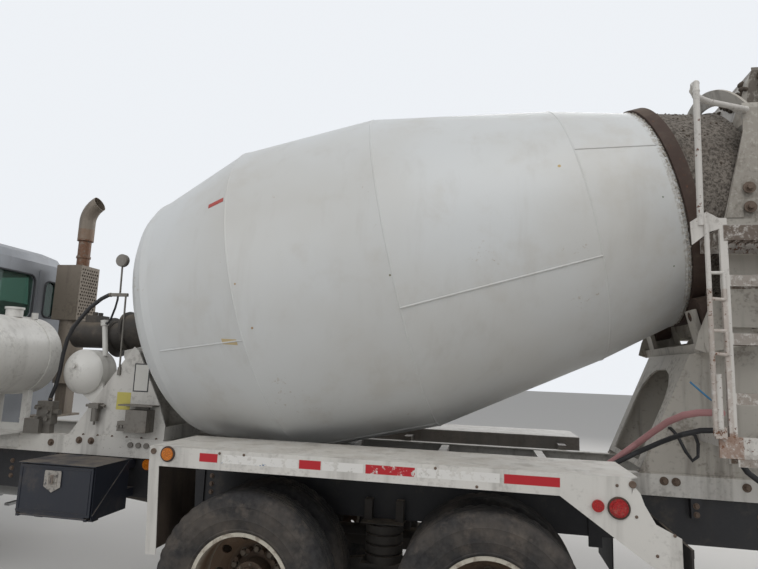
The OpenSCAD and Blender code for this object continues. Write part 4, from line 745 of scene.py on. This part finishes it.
def dress_drum():
    rnd = random.Random(4)
    bm = bmesh.new()
    for s0, s1, angle in DRUM_WELDS:
        for turn in (0, 180):
            n = int((s1 - s0) / WELD_STEP)
            pts = [on_drum(s0 + (s1 - s0) * i / n, angle + turn + 0.02 * rnd.uniform(-1, 1), 0.0005)
                   for i in range(n + 1)]
            tube(bm, pts, [WELD_RADIUS + 0.0008 * rnd.uniform(-1, 1) for _ in pts])
    new_piece("drum_long_welds", bm, "drum", "drum", 1.2)
    bm = bmesh.new()
    drum_patch(bm, -1.055, -0.93, 62.0, 63.6, 0.002, slant=0.6)
    new_piece("drum_red_strip", bm, "strip_red", "drum")
    bm = bmesh.new()
    drum_patch(bm, -1.062, -0.955, 108.6, 110.4, 0.0015, slant=0.9)
    new_piece("drum_tan_patch", bm, "patch_tan", "drum")


# ---------------------------------------------------------------- tyres

# A tyre's bead radius, the height that the table of its side is drawn at, and the cuts in its shoulder
BEAD, SIDE_HEIGHT, SHOULDER_CUT = 0.286, 0.229, 0.007
# The side from the bead out, as (height, share of the width)
TYRE_SIDE = (
    (0, 0.34), (0.015, 0.38), (0.022, 0.42), (0.030, 0.436), (0.036, 0.424), (0.060, 0.456),
    (0.086, 0.482), (0.089, 0.489), (0.093, 0.483), (0.115, 0.499), (0.140, 0.498), (0.158, 0.492),
    (0.161, 0.497), (0.165, 0.488), (0.182, 0.474), (0.198, 0.452),
)


def tyre_profile(r, w):
    """Half of the section as (radius, distance from the middle), from the bead to the middle rib."""
    k = (r - BEAD) / SIDE_HEIGHT
    half = [(BEAD + a * k, b * w) for a, b in TYRE_SIDE]
    half += [(r - 0.022, 0.434 * w), (r - 0.010, 0.405 * w), (r - 0.003, 0.36 * w), (r, 0.32 * w)]
    for a, b in ((0.235, 0.200), (0.085, 0.052)):
        half += [(r, a * w), (r - 0.013, (a - 0.008) * w), (r - 0.013, (b + 0.008) * w), (r, b * w)]
    return half


def tyre_mesh(bm, centre, r, w, steps=126):
    """Ribbed tyre with small cuts round its shoulders, turned about a line along Y."""
    half = tyre_profile(r, w)
    full = half + [(a, -b) for a, b in reversed(half)]
    shoulder = {i for i, q in enumerate(full) if q[0] > r - 0.012 and abs(q[1]) > 0.28 * w}
    rings = []
    for k in range(steps):
        t = 2 * math.pi * k / steps
        out = Vector((math.sin(t), 0, math.cos(t)))
        cut = SHOULDER_CUT if k % 3 == 0 else 0.0
        rings.append([centre + b * LEFT + (a - (cut if i in shoulder else 0)) * out
                      for i, (a, b) in enumerate(full)])
    rows = [[bm.verts.new(q) for q in ring] for ring in rings]
    n = len(full)
    for k in range(steps):
        a, b = rows[k], rows[(k + 1) % steps]
        for i in range(n - 1):
            bm.faces.new((a[i], b[i], b[i + 1], a[i + 1]))
        bm.faces.new((a[n - 1], b[n - 1], b[0], a[0]))


def dress_tyres():
    for side, sign in SIDES:
        bm = bmesh.new()
        tyre_mesh(bm, place(FRONT_X, sign * FRONT_Y, FRONT_Z), FRONT_Z / 1000, FRONT_WIDTH / 1000)
        ob = new_piece("tyre_tread_front_" + side, bm, "rubber", "wheel_front_" + side, 0.75)
        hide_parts("tyre_front_" + side)
        for axle, x in (("mid", TWIN_X), ("rear", -TWIN_X)):
            bm = bmesh.new()
            for y in TWIN_Y:
                tyre_mesh(bm, place(x, sign * y, TWIN_Z), TWIN_Z / 1000, TWIN_WIDTH / 1000)
            body = "wheel_%s_%s" % (axle, side)
            ob = new_piece("tyre_tread_%s_%s" % (axle, side), bm, "rubber", body, 0.75)
            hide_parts("tyres_%s_%s" % (axle, side))


# ---------------------------------------------------------------- fasteners

# Bolts and screws of the left side, and the right one's mirror images, as (x, z) in millimetres
FRAME_BOLTS = [(x + 5, z) for x in (-2300, -1500, 1250, 2050, 2900, 3700) for z in (850, 905, 960)]
PLATE_BOLTS = [(x + 30, z) for x in (-1960, 1400, 2500, 3420) for z in (955, 1005)]
SUBFRAME_BOLTS = [(-1751, 1141), (-1820, 1140), (-2216, 1133), (2324, 1150), (2224, 1150),
                  (2560, 1120), (3000, 1120), (3330, 1120)]
FENDER_SCREWS = [(-1319, 1222), (-1408, 1077), (-1583, 1002), (-1500, 900),
                 (841, 1245), (692, 1245), (-400, 1245), (-620, 1165)]
# The same for two eyes and two lamps on the fender, with their radii in metres
FENDER_EYES = ((-1393, 1232, 0.018), (1255, 1233, 0.017))
FENDER_LAMPS = ((1163, 1222, 0.037), (-1325, 1113, 0.047))
UP = (0, 0, 1)


def dress_fasteners():
    frame_bm, fender_bm, bezel_bm = bmesh.new(), bmesh.new(), bmesh.new()
    for _, sign in SIDES:
        out = (0, sign, 0)
        for x, z in FRAME_BOLTS:
            bolt(frame_bm, place(x, sign * RAIL_Y, z), out, 0.013, 0.014)
        for x, z in PLATE_BOLTS:
            bolt(frame_bm, place(x, sign * PLATE_Y, z), out, 0.014, 0.015)
        for x in range(-2240, -1650, 120):
            bolt(frame_bm, place(x, sign * 436, 1190), UP, 0.012, 0.012)
        for x in range(1700, 2420, 120):
            bolt(frame_bm, place(x, sign * 460.8, 1190), UP, 0.008, 0.010)
        for x, z in SUBFRAME_BOLTS:
            washer = [(-0.002, 0.026), (0.004, 0.026), (0.004, 0.015)]
            turned(frame_bm, place(x, sign * PLATE_Y, z), out, washer, 20)
            bolt(frame_bm, place(x, sign * (PLATE_Y + 4), z), out, 0.015, 0.018)
        for z in (2808, 2928):
            turned(frame_bm, place(-2216, sign * 730, z), out, [(-0.001, 0.036), (0.005, 0.036)], 20)
            bolt(frame_bm, place(-2216, sign * 734, z), out, 0.018, 0.016)
        for x, z in FENDER_SCREWS:
            head = [(-0.001, 0.008), (0.002, 0.008), (0.004, 0.004)]
            turned(fender_bm, place(x, sign * FENDER_Y, z), out, head, 12)
        for x, z, r in FENDER_EYES:
            eye = [(-0.001, r), (0.006, r), (0.008, r * 0.8), (0.006, r * 0.55), (0.006, 0.002)]
            turned(fender_bm, place(x, sign * FENDER_Y, z), out, eye)
        for x, z, r in FENDER_LAMPS:
            bezel = [(0, r + 0.008), (0.008, r + 0.008), (0.011, r + 0.004), (0.011, r), (0, r)]
            turned(bezel_bm, place(x, sign * (FENDER_Y - 1), z), out, bezel, 36)
    new_piece("frame_bolts", frame_bm, "bolts", "chassis", sharp=0.5)
    new_piece("fender_screws", fender_bm, "bolts", "chassis", sharp=0.5)
    new_piece("lamp_bezels", bezel_bm, "rusty", "chassis", sharp=0.5)


# Wheel nuts: how many on a disc, on which circle in millimetres, and their washer and body
NUT_COUNT, NUT_CIRCLE = 10, 143
NUT_WASHER = [(-0.001, 0.027), (0.005, 0.027)]
NUT_BODY = [(0.005, 0.021), (0.024, 0.021), (0.028, 0.016)]
# Front hub cap, and the face that it sits on
CAP_Y, CAP = 1179, [(0, 0.072), (0.008, 0.072), (0.012, 0.062), (0.014, 0.02)]
# Wheels: body, place along X and Z, nut face, then hub bolts: their circle, face and count
HUBS = (
    ("wheel_front_", FRONT_X, FRONT_Z, 1115, 88, 1180, 6),
    ("wheel_mid_", TWIN_X, TWIN_Z, 922, 84, 1030, 8),
    ("wheel_rear_", -TWIN_X, TWIN_Z, 922, 84, 1030, 8),
)


def around(x, y, z, r, count):
    """Places spaced evenly on a circle across Y, in millimetres."""
    turns = [2 * math.pi * k / count for k in range(count)]
    return [place(x + r * math.sin(t), y, z + r * math.cos(t)) for t in turns]


def dress_hubs():
    """Nuts on every wheel disc, bolts round the hubs and caps on the front ones."""
    for side, sign in SIDES:
        out = (0, sign, 0)
        for body, x, z, disc, ring, face, count in HUBS:
            bm = bmesh.new()
            for at in around(x, sign * disc, z, NUT_CIRCLE, NUT_COUNT):
                turned(bm, at, out, NUT_WASHER, 18)
                turned(bm, at, out, NUT_BODY, 6)
            if body == "wheel_front_":
                turned(bm, place(x, sign * CAP_Y, z), out, CAP, 32)
            for at in around(x, sign * face, z, ring, count):
                bolt(bm, at, out, 0.008, 0.009)
            new_piece(body + side + "_nuts", bm, "nuts", body + side, sharp=0.5)


# ---------------------------------------------------------------- crust, labels and small trim

# Counts of cement lumps on the hopper, on the paint's edge and on the cone
HOPPER_LUMPS, LIP_LUMPS, CONE_LUMPS = 190, 210, 260
# The lumps' top and lowest reach below it, and the hopper's foot and height that its walls are drawn from
LUMP_TOP, LUMP_REACH, HOPPER_FOOT, HOPPER_HEIGHT = 3812, 320, 3250, 580


def lump(bm, at, r, rnd):
    """An uneven ball of cement."""
    made = bmesh.ops.create_icosphere(bm, subdivisions=2, radius=r, matrix=Matrix.Translation(at))
    seed = Vector((rnd.uniform(-9, 9), rnd.uniform(-9, 9), rnd.uniform(-9, 9)))
    for v in made["verts"]:
        d = v.co - at
        v.co = at + d * (1 + 0.45 * noise.noise(d / r * 0.9 + seed))


def dress_crust():
    rnd = random.Random(11)
    bm = bmesh.new()
    for _ in range(HOPPER_LUMPS):
        z = LUMP_TOP - LUMP_REACH * rnd.random() ** 2.2
        k = (z - HOPPER_FOOT) / HOPPER_HEIGHT
        y, front, back = 230 + 220 * k, -2230 - 160 * k, -2600 - 400 * k
        wall = rnd.choice((0, 0, 1, 2))
        if wall == 0:
            at = (rnd.uniform(back, front), rnd.choice((1, 1, -1)) * (y + 2), z)
        elif wall == 1:
            at = (front + 2, rnd.uniform(-y, y), z)
        else:
            at = (back - 2, rnd.uniform(-y, y), z)
        lump(bm, place(*at), rnd.uniform(0.008, 0.026), rnd)
    new_piece("hopper_crust", bm, "crust", "chassis", sharp=3)
    bm = bmesh.new()
    for k in range(LIP_LUMPS):
        at = on_drum(rnd.uniform(1.832, 1.846), k * 360 / LIP_LUMPS + rnd.uniform(-0.6, 0.6), 0.001)
        lump(bm, at, rnd.uniform(0.004, 0.009), rnd)
    new_piece("drum_lip_crust", bm, "lip", "drum", sharp=3)
    bm = bmesh.new()
    for _ in range(CONE_LUMPS):
        at = on_drum(rnd.uniform(1.95, 2.36), rnd.uniform(0, 360))
        lump(bm, at, rnd.uniform(0.003, 0.010), rnd)
    new_piece("drum_cone_crust", bm, "crust", "drum", sharp=3)


def loop_points(y0, y1, z0, z1, r):
    """Rounded rectangle just behind the cab's rear wall, across X, as points in the row frame."""
    pts = []
    corners = ((y1 - r, z1 - r), (y0 + r, z1 - r), (y0 + r, z0 + r), (y1 - r, z0 + r))
    for i, (cy, cz) in enumerate(corners):
        for k in range(7):
            t = math.radians(90 * i + 15 * k)
            pts.append(place(SEAL_X, cy + r * math.cos(t), cz + r * math.sin(t)))
    return pts


def ring_tube(bm, pts, r, n=6):
    """Tube along a closed loop of points."""
    rows = []
    for i, q in enumerate(pts):
        _, u, v = frame_of(pts[(i + 1) % len(pts)] - pts[i - 1])
        rows.append([bm.verts.new(p) for p in circle(q, u, v, r, n)])
    for i, a in enumerate(rows):
        b = rows[(i + 1) % len(rows)]
        for k in range(n):
            bm.faces.new((a[k], a[(k + 1) % n], b[(k + 1) % n], b[k]))


SEAL_X, SEAL_RADIUS = 3839, 0.011
# Rear windows: least and greatest y, least and greatest z, corner radius, in millimetres
WINDOWS = ((-607, 607, 2130, 2567, 66), (748, 923, 2160, 2532, 55), (-923, -748, 2160, 2532, 55))
# Hose clamps: place in millimetres, the hose's way there, and radius in metres
CLAMPS = (
    ((-1866, 1080, 1600), (0, 1, 0), 0.0205), ((-1860, 1085, 1505), (0, 1, 0), 0.0165),
    ((-1346, 462, 985), (0, 1, 0), 0.0205), ((-1346, 462, 940), (0, 1, 0), 0.0165),
    ((2640, 430, 1436), (0, 0, 1), 0.0165), ((2196, 462, 2249), (1, 0, 0), 0.0165),
)


def dress_trim():
    bm = bmesh.new()
    plate(bm, 1938, 2052, 1388, 1516, 2.1)
    new_piece("label_yellow", bm, "label_yellow", "chassis")
    bm = bmesh.new()
    plate(bm, 1808, 1922, 1530, 1728, 2.1)
    new_piece("label_white", bm, "label_white", "chassis")
    bm = bmesh.new()
    plate(bm, 1803, 1927, 1525, 1533, 3.5)
    plate(bm, 1803, 1927, 1725, 1733, 3.5)
    plate(bm, 1803, 1811, 1533, 1725, 3.5)
    plate(bm, 1919, 1927, 1533, 1725, 3.5)
    new_piece("label_frame", bm, "trim", "chassis")
    # Tag on a thin wire at the ladder's grab tube
    bm = bmesh.new()
    tube(bm, [place(-1723, 1092, 1753), place(-1770, 1094, 1709), place(-1815, 1096, 1668)], 0.014, 8, 0.35)
    tube(bm, [place(-1812, 1096, 1670), place(-1831, 1108, 1650)], 0.003, 6)
    new_piece("blue_tag", bm, "tag_blue", "chassis")
    # Rubber seals round the cab's rear windows
    bm = bmesh.new()
    for window in WINDOWS:
        ring_tube(bm, loop_points(*window), SEAL_RADIUS)
    new_piece("window_seals", bm, "trim", "chassis", 1.5)
    bm = bmesh.new()
    for at, way, r in CLAMPS:
        turned(bm, place(*at), way, [(-0.006, r - 0.002), (-0.006, r), (0.006, r), (0.006, r - 0.002)])
    new_piece("hose_clamps", bm, "nuts", "chassis", sharp=0.5)


def cushion(name, lo, hi, crown):
    """Crowned pad with rounded edges and a sewn groove; its soft face looks up."""
    bm = bmesh.new()
    block(bm, lo, hi)
    bmesh.ops.bevel(bm, geom=list(bm.edges), offset=min(hi - lo) * 0.42, segments=4, affect="EDGES")
    bmesh.ops.subdivide_edges(bm, edges=list(bm.edges), cuts=3, use_grid_fill=True)
    c, h = (lo + hi) / 2, (hi - lo) / 2
    for v in bm.verts:
        if v.co.z > c.z:
            a, b = (v.co.x - c.x) / h.x, (v.co.y - c.y) / h.y
            seam = 0.006 * math.exp(-(((abs(a) - 0.55) / 0.035) ** 2))
            v.co.z += crown * max(0, 1 - a * a) * max(0, 1 - b * b) - seam
    ob = new_piece(name, bm, "seat", "chassis", 3)


def dress_seats():
    for side, sign in SIDES:
        y0, y1 = sorted((sign * 368, sign * 852))
        cushion("seat_pad_" + side, place(4150, y0, 1588), place(4632, y1, 1630), 0.022)


make_camera()
make_stage()
make_looks()
dress_nodes()
dress_drum()
dress_tyres()
dress_fasteners()
dress_hubs()
dress_crust()
dress_trim()
dress_seats()
